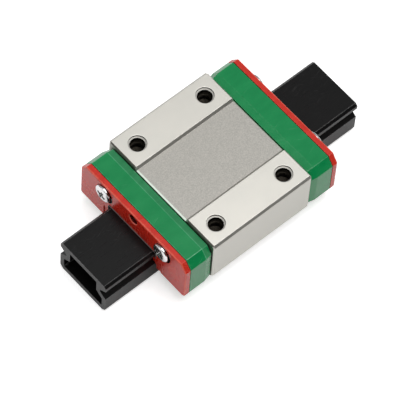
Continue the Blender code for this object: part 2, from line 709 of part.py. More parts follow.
def add_end(end_name, turn, materials, carriage):
    """Cap, seal, screws and return guides of one end, in a frame turned so that +X points outwards."""
    end_frame = add_empty(f"{end_name}_end", (0.0, 0.0, 0.0), turn, carriage)
    add_end_cap(f"{end_name}_end_cap", materials, end_frame)
    add_end_seal(f"{end_name}_end_seal", materials, end_frame)
    for side_name, world_side in (("left", 1), ("right", -1)):
        side = world_side * round(math.cos(turn))
        corner = f"{end_name}_{side_name}"
        add_return_guide(f"{corner}_return_guide", materials, end_frame, side)
        add_cap_screw(f"{corner}_screw", materials, end_frame, side, SCREW_TURN[corner])


def build():
    clear_scene()
    materials = make_materials()
    add_transport_rail(materials)
    carriage = add_empty("carriage", (0.0, 0.0, 0.0))
    add_steel_block(materials, carriage)
    add_end("front", math.pi, materials, carriage)
    add_end("rear", 0.0, materials, carriage)
    mesh = ball_mesh()
    mesh.materials.append(materials["ball_steel"])
    for side_name, side in (("left", 1), ("right", -1)):
        add_ball_circuit(side_name, materials, carriage, side, mesh)
        add_retaining_wire(f"{side_name}_retaining_wire", materials, carriage, side)


build()
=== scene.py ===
# %% [markdown]
# # A miniature linear guide carriage, dressed for the camera
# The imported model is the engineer's half of this object: every piece at its real size, with plain facets.
# This lesson is the other half. It loads that model as a fixed frame, measures it, and builds a finished
# piece over each part: rounded edges, threads, ground steel, moulded plastic and bright screws.
# Nothing is placed by eye. Every size below is either read from the frame or a named value in metres.

# %% Load the frame
import math
from collections import Counter

import bmesh
import bpy
from mathutils import Matrix, Vector


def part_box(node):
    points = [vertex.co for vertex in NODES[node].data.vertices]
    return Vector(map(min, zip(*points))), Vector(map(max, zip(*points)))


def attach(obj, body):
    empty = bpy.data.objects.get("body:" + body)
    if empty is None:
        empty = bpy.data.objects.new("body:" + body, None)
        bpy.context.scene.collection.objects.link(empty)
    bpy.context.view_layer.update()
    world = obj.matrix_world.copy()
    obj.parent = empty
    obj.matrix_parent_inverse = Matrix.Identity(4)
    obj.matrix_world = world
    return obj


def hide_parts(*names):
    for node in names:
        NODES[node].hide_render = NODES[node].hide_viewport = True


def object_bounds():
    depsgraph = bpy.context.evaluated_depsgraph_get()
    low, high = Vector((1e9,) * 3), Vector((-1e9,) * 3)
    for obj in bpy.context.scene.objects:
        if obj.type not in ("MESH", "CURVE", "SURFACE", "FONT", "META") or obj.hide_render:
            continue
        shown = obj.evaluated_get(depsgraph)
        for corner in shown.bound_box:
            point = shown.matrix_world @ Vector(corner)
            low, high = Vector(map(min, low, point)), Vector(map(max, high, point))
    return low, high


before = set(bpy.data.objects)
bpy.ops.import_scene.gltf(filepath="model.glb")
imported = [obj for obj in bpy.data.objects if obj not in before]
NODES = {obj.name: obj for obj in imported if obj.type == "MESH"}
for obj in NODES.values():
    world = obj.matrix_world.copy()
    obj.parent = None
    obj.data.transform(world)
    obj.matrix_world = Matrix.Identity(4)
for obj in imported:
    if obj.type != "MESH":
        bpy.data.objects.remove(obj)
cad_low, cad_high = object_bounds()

MM = 0.001
RAIL_BODY = "rail"
CARRIAGE_BODY = "carriage"
print("CAD size in mm:", [round((b - a) / MM, 2) for a, b in zip(cad_low, cad_high)])
print("CAD nodes:", len(NODES))

# %% [markdown]
# ## Reading outlines from the frame
# A carriage is mostly extrusions: the rail, the steel block and the caps all have one outline that runs
# along the rail. Such an outline could be typed again by hand, but then two files would hold the same
# numbers. Here a plane cuts the CAD mesh, and the cut's edges are walked into closed loops of points.
# Points in the middle of a straight side say nothing about the shape, so they are dropped.

# %% Sections through a CAD node
STRAIGHT = math.radians(1.0)


def walk_loops(edges):
    """The closed rings that a set of edges makes, each a list of points."""
    near = {}
    for edge in edges:
        first, second = edge.verts
        near.setdefault(first, []).append(second)
        near.setdefault(second, []).append(first)
    loops = []
    left = set(near)
    while left:
        here = min(left, key=lambda vert: (vert.co.x, vert.co.y, vert.co.z))
        loop = []
        while here is not None:
            left.discard(here)
            loop.append(here.co.copy())
            here = next((vert for vert in near[here] if vert in left), None)
        loops.append(loop)
    return loops


def without_straight_points(points):
    kept = []
    for before, here, after in zip(points[-1:] + points[:-1], points, points[1:] + points[:1]):
        if (here - before).angle(after - here, 0.0) > STRAIGHT:
            kept.append(here)
    return kept


def signed_area(points):
    pairs = zip(points, points[1:] + points[:1])
    return sum(a.x * b.y - b.x * a.y for a, b in pairs) / 2


def section(node, axis, place):
    """Loops where a CAD node meets a plane across an axis, as 2-D points, the largest loop first."""
    bm = bmesh.new()
    bm.from_mesh(NODES[node].data)
    bmesh.ops.remove_doubles(bm, verts=bm.verts, dist=0.0001 * MM)
    normal = Vector((0.0, 0.0, 0.0))
    normal[axis] = 1.0
    found = bmesh.ops.bisect_plane(
        bm, geom=bm.verts[:] + bm.edges[:] + bm.faces[:], dist=0.00001 * MM,
        plane_co=normal * place, plane_no=normal,
    )
    edges = [item for item in found["geom_cut"] if isinstance(item, bmesh.types.BMEdge)]
    across = [i for i in range(3) if i != axis]
    loops = []
    for ring in walk_loops(edges):
        flat = without_straight_points([Vector((point[across[0]], point[across[1]])) for point in ring])
        if signed_area(flat) < 0.0:
            flat.reverse()
        loops.append(flat)
    bm.free()
    return sorted(loops, key=signed_area, reverse=True)


def circle_of(loop):
    """Centre and radius of a loop that stands for a round hole."""
    centre = sum(loop, Vector((0.0, 0.0))) / len(loop)
    return centre, max((point - centre).length for point in loop)


print("Rail section:", [len(loop) for loop in section("dummy_rail", 0, 0.0)], "points")

# %% [markdown]
# ## Outlines that catch the light
# No real edge is a perfect corner. A ground edge is broken by a tenth of a millimetre, and a moulded one
# comes out of its tool with a small radius. That radius is what draws the thin bright line along an edge
# in a photograph. A Bevel modifier could add it, but it needs a clean mesh, so the corners of the outline
# are rounded before the solid is made. Gentle corners belong to an arc already and are left alone.

# %% Outline tools
GENTLE = math.radians(25.0)


def inset(points, distance):
    """The outline moved inwards by a distance, or outwards if that is negative, corners kept."""
    moved = []
    for before, here, after in zip(points[-1:] + points[:-1], points, points[1:] + points[:1]):
        first = (here - before).normalized()
        second = (after - here).normalized()
        inward_first = Vector((-first.y, first.x))
        inward_second = Vector((-second.y, second.x))
        share = distance / (1.0 + inward_first.dot(inward_second))
        moved.append(here + (inward_first + inward_second) * share)
    return moved


def rounded(points, radius, steps=3):
    """The outline with each real corner turned into a short curve."""
    soft = []
    for before, here, after in zip(points[-1:] + points[:-1], points, points[1:] + points[:1]):
        turn = (here - before).angle(after - here, 0.0)
        if turn < GENTLE:
            soft.append(here.copy())
            continue
        room = 0.45 * min((here - before).length, (after - here).length)
        reach = min(radius * math.tan(turn / 2), room)
        start = here + (before - here).normalized() * reach
        end = here + (after - here).normalized() * reach
        for step in range(steps + 1):
            share = step / steps
            soft.append(start.lerp(here, share).lerp(here.lerp(end, share), share))
    return soft


def rounded_end(place, outward, radius, steps=4):
    """(x, inset) pairs that round an extrusion over into its end face."""
    pairs = []
    for step in range(steps + 1):
        angle = math.pi / 2 * step / steps
        pairs.append((place - outward * radius * (1.0 - math.sin(angle)), radius * (1.0 - math.cos(angle))))
    return pairs


# %% [markdown]
# ## Solids
# Three ways of making a solid cover nearly every piece here: a loft through outlines, a profile turned on
# a lathe, and one solid cut out of another. After the last cut the piece is frozen, which means that its
# modifiers are worked out and only the plain mesh stays. Normals are weighted by face size, so the flats
# stay flat in the light and only the narrow rounded edges bend it.

# %% Solid tools
SHARP = math.radians(40.0)


def new_piece(name, bm):
    """An object at the origin from a bmesh, its faces turned outwards."""
    bmesh.ops.recalc_face_normals(bm, faces=bm.faces)
    mesh = bpy.data.meshes.new(name)
    bm.to_mesh(mesh)
    bm.free()
    piece = bpy.data.objects.new(name, mesh)
    bpy.context.scene.collection.objects.link(piece)
    return piece


def freeze(piece):
    """Works out a piece's modifiers and keeps only the plain mesh."""
    graph = bpy.context.evaluated_depsgraph_get()
    mesh = bpy.data.meshes.new_from_object(
        piece.evaluated_get(graph), preserve_all_data_layers=True, depsgraph=graph
    )
    old = piece.data
    piece.modifiers.clear()
    piece.data = mesh
    bpy.data.meshes.remove(old)
    mesh.name = piece.name
    return piece


def loft(name, stations):
    """A closed solid through outlines in (y, z), each at its own x."""
    bm = bmesh.new()
    rings = [[bm.verts.new((x, point.x, point.y)) for point in outline] for x, outline in stations]
    for low, high in zip(rings, rings[1:]):
        for i in range(len(low)):
            bm.faces.new((low[i - 1], low[i], high[i], high[i - 1]))
    bm.faces.new(rings[0])
    bm.faces.new(rings[-1])
    return new_piece(name, bm)


def turned(name, profile, steps, place=(0.0, 0.0, 0.0), along="Z"):
    """A lathe-turned solid from (radius, height) points that start and end on its axis."""
    bm = bmesh.new()
    verts = [bm.verts.new((radius, 0.0, height)) for radius, height in profile]
    edges = [bm.edges.new(pair) for pair in zip(verts, verts[1:])]
    bmesh.ops.spin(
        bm, geom=verts + edges, cent=(0.0, 0.0, 0.0), axis=(0.0, 0.0, 1.0),
        angle=2 * math.pi, steps=steps, use_duplicate=False,
    )
    bmesh.ops.remove_doubles(bm, verts=bm.verts, dist=0.0001 * MM)
    if along == "X":
        bmesh.ops.rotate(bm, verts=bm.verts, matrix=Matrix.Rotation(math.pi / 2, 3, "Y"))
    bmesh.ops.translate(bm, verts=bm.verts, vec=place)
    return new_piece(name, bm)


def block_shape(name, low, high):
    """A plain box between two corners, for cutting."""
    bm = bmesh.new()
    bmesh.ops.create_cube(bm, size=1.0)
    low, high = Vector(low), Vector(high)
    bmesh.ops.scale(bm, vec=high - low, verts=bm.verts)
    bmesh.ops.translate(bm, vec=(low + high) / 2, verts=bm.verts)
    return new_piece(name, bm)


def carve(piece, cutters):
    """Cuts each cutter out of the piece, then throws the cutters away."""
    for cutter in cutters:
        boolean = piece.modifiers.new(cutter.name, "BOOLEAN")
        boolean.operation = "DIFFERENCE"
        boolean.solver = "EXACT"
        boolean.object = cutter
    freeze(piece)
    bm = bmesh.new()
    bm.from_mesh(piece.data)
    bmesh.ops.remove_doubles(bm, verts=bm.verts, dist=0.0001 * MM)
    bm.to_mesh(piece.data)
    bm.free()
    for cutter in cutters:
        bpy.data.meshes.remove(cutter.data)


def mirrored(piece):
    """A piece built for one end of the carriage, turned into its mirror image for the other."""
    piece.data.transform(Matrix.Scale(-1.0, 4, (1.0, 0.0, 0.0)))
    piece.data.flip_normals()
    return piece


def smooth(piece):
    """Smooth shading up to real corners, with the large faces leading."""
    piece.data.shade_smooth()
    piece.data.set_sharp_from_angle(angle=SHARP)
    weighted = piece.modifiers.new("weighted", "WEIGHTED_NORMAL")
    weighted.keep_sharp = True
    weighted.weight = 80
    return freeze(piece)


def mark_faces(piece, name, rule):
    """Stores a number from 0 to 1 on each face, by a rule, for a material to read."""
    values = [float(rule(face)) for face in piece.data.polygons]
    piece.data.attributes.new(name, "FLOAT", "FACE").data.foreach_set("value", values)


def open_edges(mesh):
    """How many edges do not lie between exactly two faces; a sound solid has none."""
    uses = Counter(key for face in mesh.polygons for key in face.edge_keys)
    return sum(count != 2 for count in uses.values())


def finish_piece(piece, material, body, slot, *stood_for):
    """Gives a finished piece its material, the body it rides on and the CAD nodes it stands for."""
    piece.data.materials.clear()
    piece.data.materials.append(material)
    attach(piece, body)
    if stood_for:
        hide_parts(*stood_for)
    print(f"{piece.name}: {len(piece.data.polygons)} faces, {open_edges(piece.data)} open edges")


# %% [markdown]
# ## Shader building blocks
# Steel, plastic and wire share a few effects: a fine grain, lighter edges, and scratches. The lighter edges
# are rubbed wear on steel and plastic and a painted highlight line on the rail. Each is a node group, made
# once and given its own values in every material. The groups read Object coordinates, so a pattern has a
# real size in metres and stays put when the carriage slides.
# Shaders stay in the materials. The groups only put out values and normals.

# %% Node helpers
def put(tree, kind, inputs=None, **settings):
    """Adds a node, sets its properties, and sets or links its inputs by name or number."""
    made = tree.nodes.new(kind)
    for name, value in settings.items():
        setattr(made, name, value)
    for key, value in (inputs or {}).items():
        if isinstance(value, bpy.types.NodeSocket):
            tree.links.new(value, made.inputs[key])
        else:
            made.inputs[key].default_value = value
    return made


def maths(tree, operation, first, second=0.5, clamp=False):
    return put(tree, "ShaderNodeMath", {0: first, 1: second}, operation=operation, use_clamp=clamp).outputs[0]


def ramp(tree, value, low, high, to_low=0.0, to_high=1.0):
    """A value mapped from one range to another and held inside it."""
    names = {"Value": value, "From Min": low, "From Max": high, "To Min": to_low, "To Max": to_high}
    return put(tree, "ShaderNodeMapRange", names).outputs["Result"]


def blend_colour(tree, share, first, second):
    mix = put(tree, "ShaderNodeMix", {0: share, 6: first, 7: second}, data_type="RGBA")
    return mix.outputs[2]


def shader_group(name, inputs, outputs):
    """An empty shader group with named sockets; returns its tree, its input node and its output node."""
    tree = bpy.data.node_groups.new(name, "ShaderNodeTree")
    for label, kind, value in inputs:
        socket = tree.interface.new_socket(label, in_out="INPUT", socket_type=kind)
        socket.default_value = value
    for label, kind in outputs:
        tree.interface.new_socket(label, in_out="OUTPUT", socket_type=kind)
    return tree, tree.nodes.new("NodeGroupInput"), tree.nodes.new("NodeGroupOutput")


# %% Grain: stretched noise as a value and as a normal
FLOAT = "NodeSocketFloat"
VECTOR = "NodeSocketVector"


def make_grain_group():
    """Noise at a real scale, stretched along an axis where the tool has left a lay."""
    tree, given, made = shader_group(
        "surface_grain",
        [("Stretch", VECTOR, (1.0, 1.0, 1.0)), ("Per Metre", FLOAT, 4000.0),
         ("Detail", FLOAT, 3.0), ("Depth", FLOAT, 0.00001), ("Strength", FLOAT, 0.2)],
        [("Value", FLOAT), ("Normal", VECTOR)],
    )
    place = put(tree, "ShaderNodeTexCoord").outputs["Object"]
    scaled = put(tree, "ShaderNodeVectorMath", {0: place, 1: given.outputs["Stretch"]},
                 operation="MULTIPLY").outputs[0]
    noise = put(tree, "ShaderNodeTexNoise", {
        "Vector": scaled, "Scale": given.outputs["Per Metre"], "Detail": given.outputs["Detail"],
        "Roughness": 0.6,
    }).outputs["Fac"]
    bump = put(tree, "ShaderNodeBump", {
        "Height": noise, "Distance": given.outputs["Depth"], "Strength": given.outputs["Strength"],
    }).outputs["Normal"]
    tree.links.new(noise, made.inputs["Value"])
    tree.links.new(bump, made.inputs["Normal"])
    return tree


def make_edge_group():
    """How strongly a spot lies on a rounded edge: the bevelled normal leaves the true one there."""
    tree, given, made = shader_group(
        "rubbed_edge",
        [("Width", FLOAT, 0.0002), ("Patchiness", FLOAT, 0.5), ("Per Metre", FLOAT, 1500.0)],
        [("Mask", FLOAT)],
    )
    soft = put(tree, "ShaderNodeBevel", {"Radius": given.outputs["Width"]}, samples=6).outputs["Normal"]
    true = put(tree, "ShaderNodeNewGeometry").outputs["True Normal"]
    alike = put(tree, "ShaderNodeVectorMath", {0: soft, 1: true}, operation="DOT_PRODUCT").outputs["Value"]
    edge = ramp(tree, alike, 0.999, 0.985)
    place = put(tree, "ShaderNodeTexCoord").outputs["Object"]
    noise = put(tree, "ShaderNodeTexNoise", {
        "Vector": place, "Scale": given.outputs["Per Metre"], "Detail": 3.0}).outputs["Fac"]
    patchy = ramp(tree, noise, 0.35, 0.65)
    worn = put(tree, "ShaderNodeMix", {0: given.outputs["Patchiness"], 2: 1.0, 3: patchy},
               data_type="FLOAT").outputs[0]
    mask = maths(tree, "MULTIPLY", edge, worn, clamp=True)
    tree.links.new(mask, made.inputs["Mask"])
    return tree


def make_scratch_group():
    """Thin streaks in two directions, kept to patches."""
    tree, given, made = shader_group(
        "fine_scratches",
        [("Per Metre", FLOAT, 260.0), ("Angle", FLOAT, 0.6), ("Amount", FLOAT, 0.5)],
        [("Mask", FLOAT)],
    )
    place = put(tree, "ShaderNodeTexCoord").outputs["Object"]
    streaks = []
    for turn_share, length_share in ((1.0, 14.0), (-0.6, 22.0)):
        turn = maths(tree, "MULTIPLY", given.outputs["Angle"], turn_share)
        aimed = put(tree, "ShaderNodeVectorRotate", {"Vector": place, "Angle": turn},
                    rotation_type="Z_AXIS").outputs[0]
        thin = put(tree, "ShaderNodeVectorMath", {0: aimed, 1: (1.0, length_share, 1.0)},
                   operation="MULTIPLY").outputs[0]
        noise = put(tree, "ShaderNodeTexNoise", {
            "Vector": thin, "Scale": given.outputs["Per Metre"], "Detail": 2.0}).outputs["Fac"]
        streaks.append(ramp(tree, noise, 0.66, 0.72))
    both = maths(tree, "MAXIMUM", streaks[0], streaks[1])
    patch = put(tree, "ShaderNodeTexNoise", {
        "Vector": place, "Scale": 140.0, "Detail": 1.0}).outputs["Fac"]
    patch = ramp(tree, patch, 0.42, 0.60)
    mask = maths(tree, "MULTIPLY", maths(tree, "MULTIPLY", both, patch), given.outputs["Amount"], clamp=True)
    tree.links.new(mask, made.inputs["Mask"])
    return tree


GRAIN = make_grain_group()
EDGE = make_edge_group()
SCRATCH = make_scratch_group()


def use_group(tree, group, **values):
    """Places a node group in a material; an underscore in a keyword stands for a space."""
    node = put(tree, "ShaderNodeGroup", node_tree=group)
    for label, value in values.items():
        node.inputs[label.replace("_", " ")].default_value = value
    return node


def new_material(name, **constants):
    """A material with a Principled shader; constants go straight on the shader's own sockets."""
    material = bpy.data.materials.new(name)
    material.use_nodes = True
    shader = material.node_tree.nodes["Principled BSDF"]
    for label, value in constants.items():
        shader.inputs[label.replace("_", " ")].default_value = value
    return material, material.node_tree, shader


print("Shader groups:", [group.name for group in bpy.data.node_groups])

# %% [markdown]
# ## Ground steel
# The block is hardened steel, ground on its two mounting pads and its sides. Grinding leaves very fine
# lines along the travel of the wheel. The strip between the pads is lower, was never ground and looks
# darker and matt. Both finishes are on one piece, so one material tells them apart by height and by the
# way the face looks: the strip is whatever faces up and lies below the pads.

# %% The block's material
PAD_COLOUR = (0.745, 0.725, 0.668, 1.0)
PAD_COLOUR_DULL = (0.71, 0.695, 0.642, 1.0)
# The sides take a darker colour than the pads: painted shade.
SHADED_SIDE_COLOUR = (0.60, 0.585, 0.545, 1.0)
STRIP_COLOUR = (0.56, 0.54, 0.50, 1.0)
STRIP_COLOUR_DARK = (0.42, 0.41, 0.38, 1.0)
# Painted shade for the insides of the holes and the block's end faces.
BORE_SHADE = (0.016, 0.014, 0.011, 1.0)
BORE_SHADE_LIGHT = (0.055, 0.048, 0.038, 1.0)
WORN_STEEL = (0.92, 0.91, 0.86, 1.0)
# A painted highlight with a painted green reflection for the strip's front edge.
PAINTED_EDGE_HIGHLIGHT = (0.72, 0.80, 0.71, 1.0)
PAD_LEVEL = cad_high.z
STRIP_DEPTH = 0.45 * MM


def make_ground_steel():
    material, tree, shader = new_material("ground_steel", Metallic=1.0)
    lay = use_group(tree, GRAIN, Stretch=(1.0, 30.0, 30.0), Per_Metre=900.0, Detail=4.0,
                    Depth=0.02 * MM, Strength=0.10)
    pits = use_group(tree, GRAIN, Stretch=(1.0, 1.0, 1.0), Per_Metre=5200.0, Detail=4.0,
                     Depth=0.06 * MM, Strength=0.45)
    cloud = use_group(tree, GRAIN, Per_Metre=170.0, Detail=2.0)
    edge = use_group(tree, EDGE, Width=0.10 * MM, Patchiness=0.5, Per_Metre=1800.0)
    coordinates = put(tree, "ShaderNodeTexCoord")
    height = put(tree, "ShaderNodeSeparateXYZ", {0: coordinates.outputs["Object"]}).outputs["Z"]
    up = put(tree, "ShaderNodeSeparateXYZ", {0: coordinates.outputs["Normal"]}).outputs["Z"]
    faces_up = ramp(tree, up, 0.80, 0.95)
    below_pad = ramp(tree, height, PAD_LEVEL - 0.2 * STRIP_DEPTH, PAD_LEVEL - 0.6 * STRIP_DEPTH)
    strip = maths(tree, "MULTIPLY", faces_up, below_pad)
    pad_colour = blend_colour(tree, ramp(tree, cloud.outputs["Value"], 0.3, 0.7), PAD_COLOUR, PAD_COLOUR_DULL)
    strip_colour = blend_colour(
        tree, ramp(tree, pits.outputs["Value"], 0.35, 0.65), STRIP_COLOUR_DARK, STRIP_COLOUR)
    colour = blend_colour(tree, strip, pad_colour, strip_colour)
    # Faces that do not face up take the darker side colour: painted shade.
    colour = blend_colour(tree, faces_up, SHADED_SIDE_COLOUR, colour)
    colour = blend_colour(tree, maths(tree, "MULTIPLY", edge.outputs["Mask"], 0.35), colour, WORN_STEEL)
    # Painted shade: a face mark darkens the insides of the holes, the block's end faces and the front ends of
    # the pads.
    oily = put(tree, "ShaderNodeAttribute", attribute_name="oily").outputs["Fac"]
    painted_shade_colour = blend_colour(tree, ramp(tree, pits.outputs["Value"], 0.35, 0.65), BORE_SHADE, BORE_SHADE_LIGHT)
    colour = blend_colour(tree, oily, colour, painted_shade_colour)
    # Painted highlight: a face mark lightens the strip's front edge, tinted green as a painted reflection.
    worn = put(tree, "ShaderNodeAttribute", attribute_name="worn").outputs["Fac"]
    colour = blend_colour(tree, worn, colour, PAINTED_EDGE_HIGHLIGHT)
    tree.links.new(colour, shader.inputs["Base Color"])
    polish = ramp(tree, lay.outputs["Value"], 0.3, 0.7, 0.40, 0.48)
    roughness = put(tree, "ShaderNodeMix", {0: strip, 2: polish, 3: 0.60}, data_type="FLOAT").outputs[0]
    roughness = put(tree, "ShaderNodeMix", {0: worn, 2: roughness, 3: 0.30}, data_type="FLOAT").outputs[0]
    tree.links.new(roughness, shader.inputs["Roughness"])
    normal = put(tree, "ShaderNodeMix", {0: strip, 4: lay.outputs["Normal"], 5: pits.outputs["Normal"]},
                 data_type="VECTOR").outputs[1]
    tree.links.new(normal, shader.inputs["Normal"])
    return material


GROUND_STEEL = make_ground_steel()

# %% [markdown]
# ## Moulded plastic
# Caps and seals are injection-moulded and glossy. Their colour is even but not dead flat: it drifts a
# little where the melt cooled at different speeds, and the surface has the faint texture of its tool.
# One function makes both, with a colour, a deeper colour and a lighter one for rubbed edges, scratches and
# painted highlights. Two marks on the faces steer it: one paints a highlight along lit edges, the other
# paints shade inside a hole and greys the front cap's slope beside the steel.

# %% Plastic materials
HOLE_SHADE = (0.018, 0.004, 0.006, 1.0)
# How strongly the painted highlight mark lightens the plastic.
HIGHLIGHT_SHARE = 0.6


def make_moulded_plastic(name, colour, deep, rubbed, roughness):
    material, tree, shader = new_material(name, IOR=1.5)
    flow = use_group(tree, GRAIN, Stretch=(0.6, 1.6, 1.0), Per_Metre=320.0, Detail=3.0)
    skin = use_group(tree, GRAIN, Per_Metre=3000.0, Detail=3.0, Depth=0.02 * MM, Strength=0.12)
    edge = use_group(tree, EDGE, Width=0.12 * MM, Patchiness=0.6, Per_Metre=1400.0)
    scratch = use_group(tree, SCRATCH, Per_Metre=300.0, Angle=0.5, Amount=0.35)
    shade = blend_colour(tree, ramp(tree, flow.outputs["Value"], 0.3, 0.7), deep, colour)
    # One face mark paints a highlight along lit edges; the other paints shade inside holes and greys the front
    # cap's slope.
    worn, sunk = (put(tree, "ShaderNodeAttribute", attribute_name=mark).outputs["Fac"]
                  for mark in ("rubbed", "sunk"))
    marks = maths(tree, "MAXIMUM", maths(tree, "MULTIPLY", edge.outputs["Mask"], 0.4),
                  maths(tree, "MULTIPLY", scratch.outputs["Mask"], 0.3))
    patchy = ramp(tree, flow.outputs["Value"], 0.35, 0.60, 0.5 * HIGHLIGHT_SHARE, HIGHLIGHT_SHARE)
    marks = maths(tree, "MAXIMUM", marks, maths(tree, "MULTIPLY", worn, patchy))
    shade = blend_colour(tree, marks, shade, rubbed)
    tree.links.new(blend_colour(tree, sunk, shade, HOLE_SHADE), shader.inputs["Base Color"])
    dull = ramp(tree, flow.outputs["Value"], 0.3, 0.7, roughness, roughness + 0.08)
    dull = maths(tree, "ADD", dull, maths(tree, "MULTIPLY", scratch.outputs["Mask"], 0.2))
    tree.links.new(dull, shader.inputs["Roughness"])
    tree.links.new(skin.outputs["Normal"], shader.inputs["Normal"])
    return material


GREEN_PLASTIC = make_moulded_plastic(
    "green_cap_plastic", (0.002, 0.255, 0.072, 1.0), (0.002, 0.222, 0.064, 1.0), (0.16, 0.52, 0.30, 1.0), 0.17)
RED_PLASTIC = make_moulded_plastic(
    "red_seal_plastic", (0.64, 0.026, 0.010, 1.0), (0.54, 0.018, 0.008, 1.0), (0.90, 0.19, 0.12, 1.0), 0.22)
WIPER_RUBBER = make_moulded_plastic(
    "grey_wiper_rubber", (0.16, 0.13, 0.125, 1.0), (0.12, 0.10, 0.10, 1.0), (0.30, 0.27, 0.26, 1.0), 0.45)
GUIDE_PLASTIC = make_moulded_plastic(
    "white_guide_plastic", (0.74, 0.73, 0.67, 1.0), (0.68, 0.67, 0.61, 1.0), (0.85, 0.84, 0.80, 1.0), 0.38)

# %% [markdown]
# ## Black extrusion
# The carriage is parked on a short hollow rail of black plastic. It is extruded, so its lines run along
# it, and sawn to length, so its end faces are lighter and rougher. It is handled a lot and carries fine
# scratches on its top.

# %% The rail's material
def make_black_extrusion():
    material, tree, shader = new_material("black_extrusion", Specular_IOR_Level=0.22)
    lines = use_group(tree, GRAIN, Stretch=(1.0, 26.0, 26.0), Per_Metre=240.0, Detail=4.0,
                      Depth=0.02 * MM, Strength=0.10)
    saw = use_group(tree, GRAIN, Stretch=(1.0, 2.0, 9.0), Per_Metre=1500.0, Detail=3.0,
                    Depth=0.03 * MM, Strength=0.4)
    scratch = use_group(tree, SCRATCH, Per_Metre=420.0, Angle=0.5, Amount=0.08)
    edge = use_group(tree, EDGE, Width=0.10 * MM, Patchiness=0.4, Per_Metre=1500.0)
    coordinates = put(tree, "ShaderNodeTexCoord")
    along = put(tree, "ShaderNodeSeparateXYZ", {0: coordinates.outputs["Normal"]}).outputs["X"]
    sawn = ramp(tree, maths(tree, "ABSOLUTE", along), 0.75, 0.95)
    body = blend_colour(tree, ramp(tree, lines.outputs["Value"], 0.3, 0.7),
                        (0.0045, 0.0045, 0.0048, 1.0), (0.0058, 0.0058, 0.0058, 1.0))
    # The scratches and the rounded edges are painted lighter; on the rounded edges this is a painted highlight
    # line.
    marks = maths(tree, "MAXIMUM", edge.outputs["Mask"], scratch.outputs["Mask"])
    body = blend_colour(tree, marks, body, (0.24, 0.24, 0.24, 1.0))
    end = blend_colour(tree, ramp(tree, saw.outputs["Value"], 0.3, 0.7),
                       (0.085, 0.085, 0.085, 1.0), (0.125, 0.125, 0.125, 1.0))
    tree.links.new(blend_colour(tree, sawn, body, end), shader.inputs["Base Color"])
    gloss = ramp(tree, lines.outputs["Value"], 0.3, 0.7, 0.27, 0.31)
    roughness = put(tree, "ShaderNodeMix", {0: sawn, 2: gloss, 3: 0.6}, data_type="FLOAT").outputs[0]
    tree.links.new(roughness, shader.inputs["Roughness"])
    normal = put(tree, "ShaderNodeMix", {0: sawn, 4: lines.outputs["Normal"], 5: saw.outputs["Normal"]},
                 data_type="VECTOR").outputs[1]
    tree.links.new(normal, shader.inputs["Normal"])
    return material


BLACK_EXTRUSION = make_black_extrusion()

# %% [markdown]
# ## Bright metal
# The screws are plated, the balls are polished bearing steel and the retaining wires are drawn. All three
# are the same bare metal with a different grain, so one function takes the grain's stretch and roughness.

# %% Screw, ball and wire materials
# Painted shade for the screws' cross recess and the sides of their heads.
RECESS_SHADE = (0.06, 0.065, 0.06, 1.0)


def make_bright_metal(name, light, dark, roughness, stretch, per_metre, strength):
    material, tree, shader = new_material(name, Metallic=1.0)
    grain = use_group(tree, GRAIN, Stretch=stretch, Per_Metre=per_metre, Detail=3.0,
                      Depth=0.01 * MM, Strength=strength)
    share = ramp(tree, grain.outputs["Value"], 0.3, 0.7)
    colour = blend_colour(tree, share, dark, light)
    # Painted shade: a face mark darkens the cross recess and the sides of the screw heads.
    recess = put(tree, "ShaderNodeAttribute", attribute_name="recess").outputs["Fac"]
    colour = blend_colour(tree, recess, colour, RECESS_SHADE)
    tree.links.new(colour, shader.inputs["Base Color"])
    tree.links.new(ramp(tree, grain.outputs["Value"], 0.3, 0.7, roughness, roughness + 0.06),
                   shader.inputs["Roughness"])
    tree.links.new(grain.outputs["Normal"], shader.inputs["Normal"])
    return material


SCREW_METAL = make_bright_metal(
    "plated_screw", (0.95, 0.95, 0.96, 1.0), (0.80, 0.80, 0.82, 1.0), 0.16, (1.0, 1.0, 1.0), 2500.0, 0.10)
BALL_METAL = make_bright_metal(
    "polished_ball", (0.90, 0.90, 0.92, 1.0), (0.84, 0.84, 0.86, 1.0), 0.04, (1.0, 1.0, 1.0), 1800.0, 0.02)
WIRE_METAL = make_bright_metal(
    "drawn_wire", (0.80, 0.80, 0.81, 1.0), (0.66, 0.66, 0.67, 1.0), 0.18, (1.0, 24.0, 24.0), 700.0, 0.20)

# %% [markdown]
# ## The transport rail
# The outline and the hollow both come from one section of the CAD rail. The outer corners are rounded a
# little, the ends are broken, and the hollow's mouth is opened by a hair so that the cut edge shows.

# %% Build the rail
RAIL_CORNER = 0.10 * MM
RAIL_END_BREAK = 0.05 * MM
HOLLOW_CORNER = 0.20 * MM
SIDE_DRAWN_IN = 0.20 * MM
SHOULDER_SLOPE = 0.50 * MM
FOOT_SLOPE = 0.70 * MM
CUTTER_OVERSHOOT = 1.0 * MM


def cut_off(points, direction, reach):
    """The outline without what lies further than a reach along a direction."""
    kept = []
    for here, after in zip(points, points[1:] + points[:1]):
        past, next_past = (point.dot(direction) - reach for point in (here, after))
        if past <= 0.0:
            kept.append(here)
        if past * next_past < 0.0:
            kept.append(here.lerp(after, past / (past - next_past)))
    return kept


def slim_outline(outline):
    """The rail's outline with its sides drawn in and its shoulders sloped as the photograph shows them."""
    half, top = (max(values) for values in zip(*outline))
    foot = min(point.y for point in outline)
    half -= SIDE_DRAWN_IN
    for way in (-1.0, 1.0):
        outline = cut_off(outline, Vector((way, 0.0)), half)
        outline = cut_off(outline, Vector((way, 1.0)), half + top - SHOULDER_SLOPE)
        outline = cut_off(outline, Vector((way, -1.0)), half - foot - FOOT_SLOPE)
    return without_straight_points(outline)


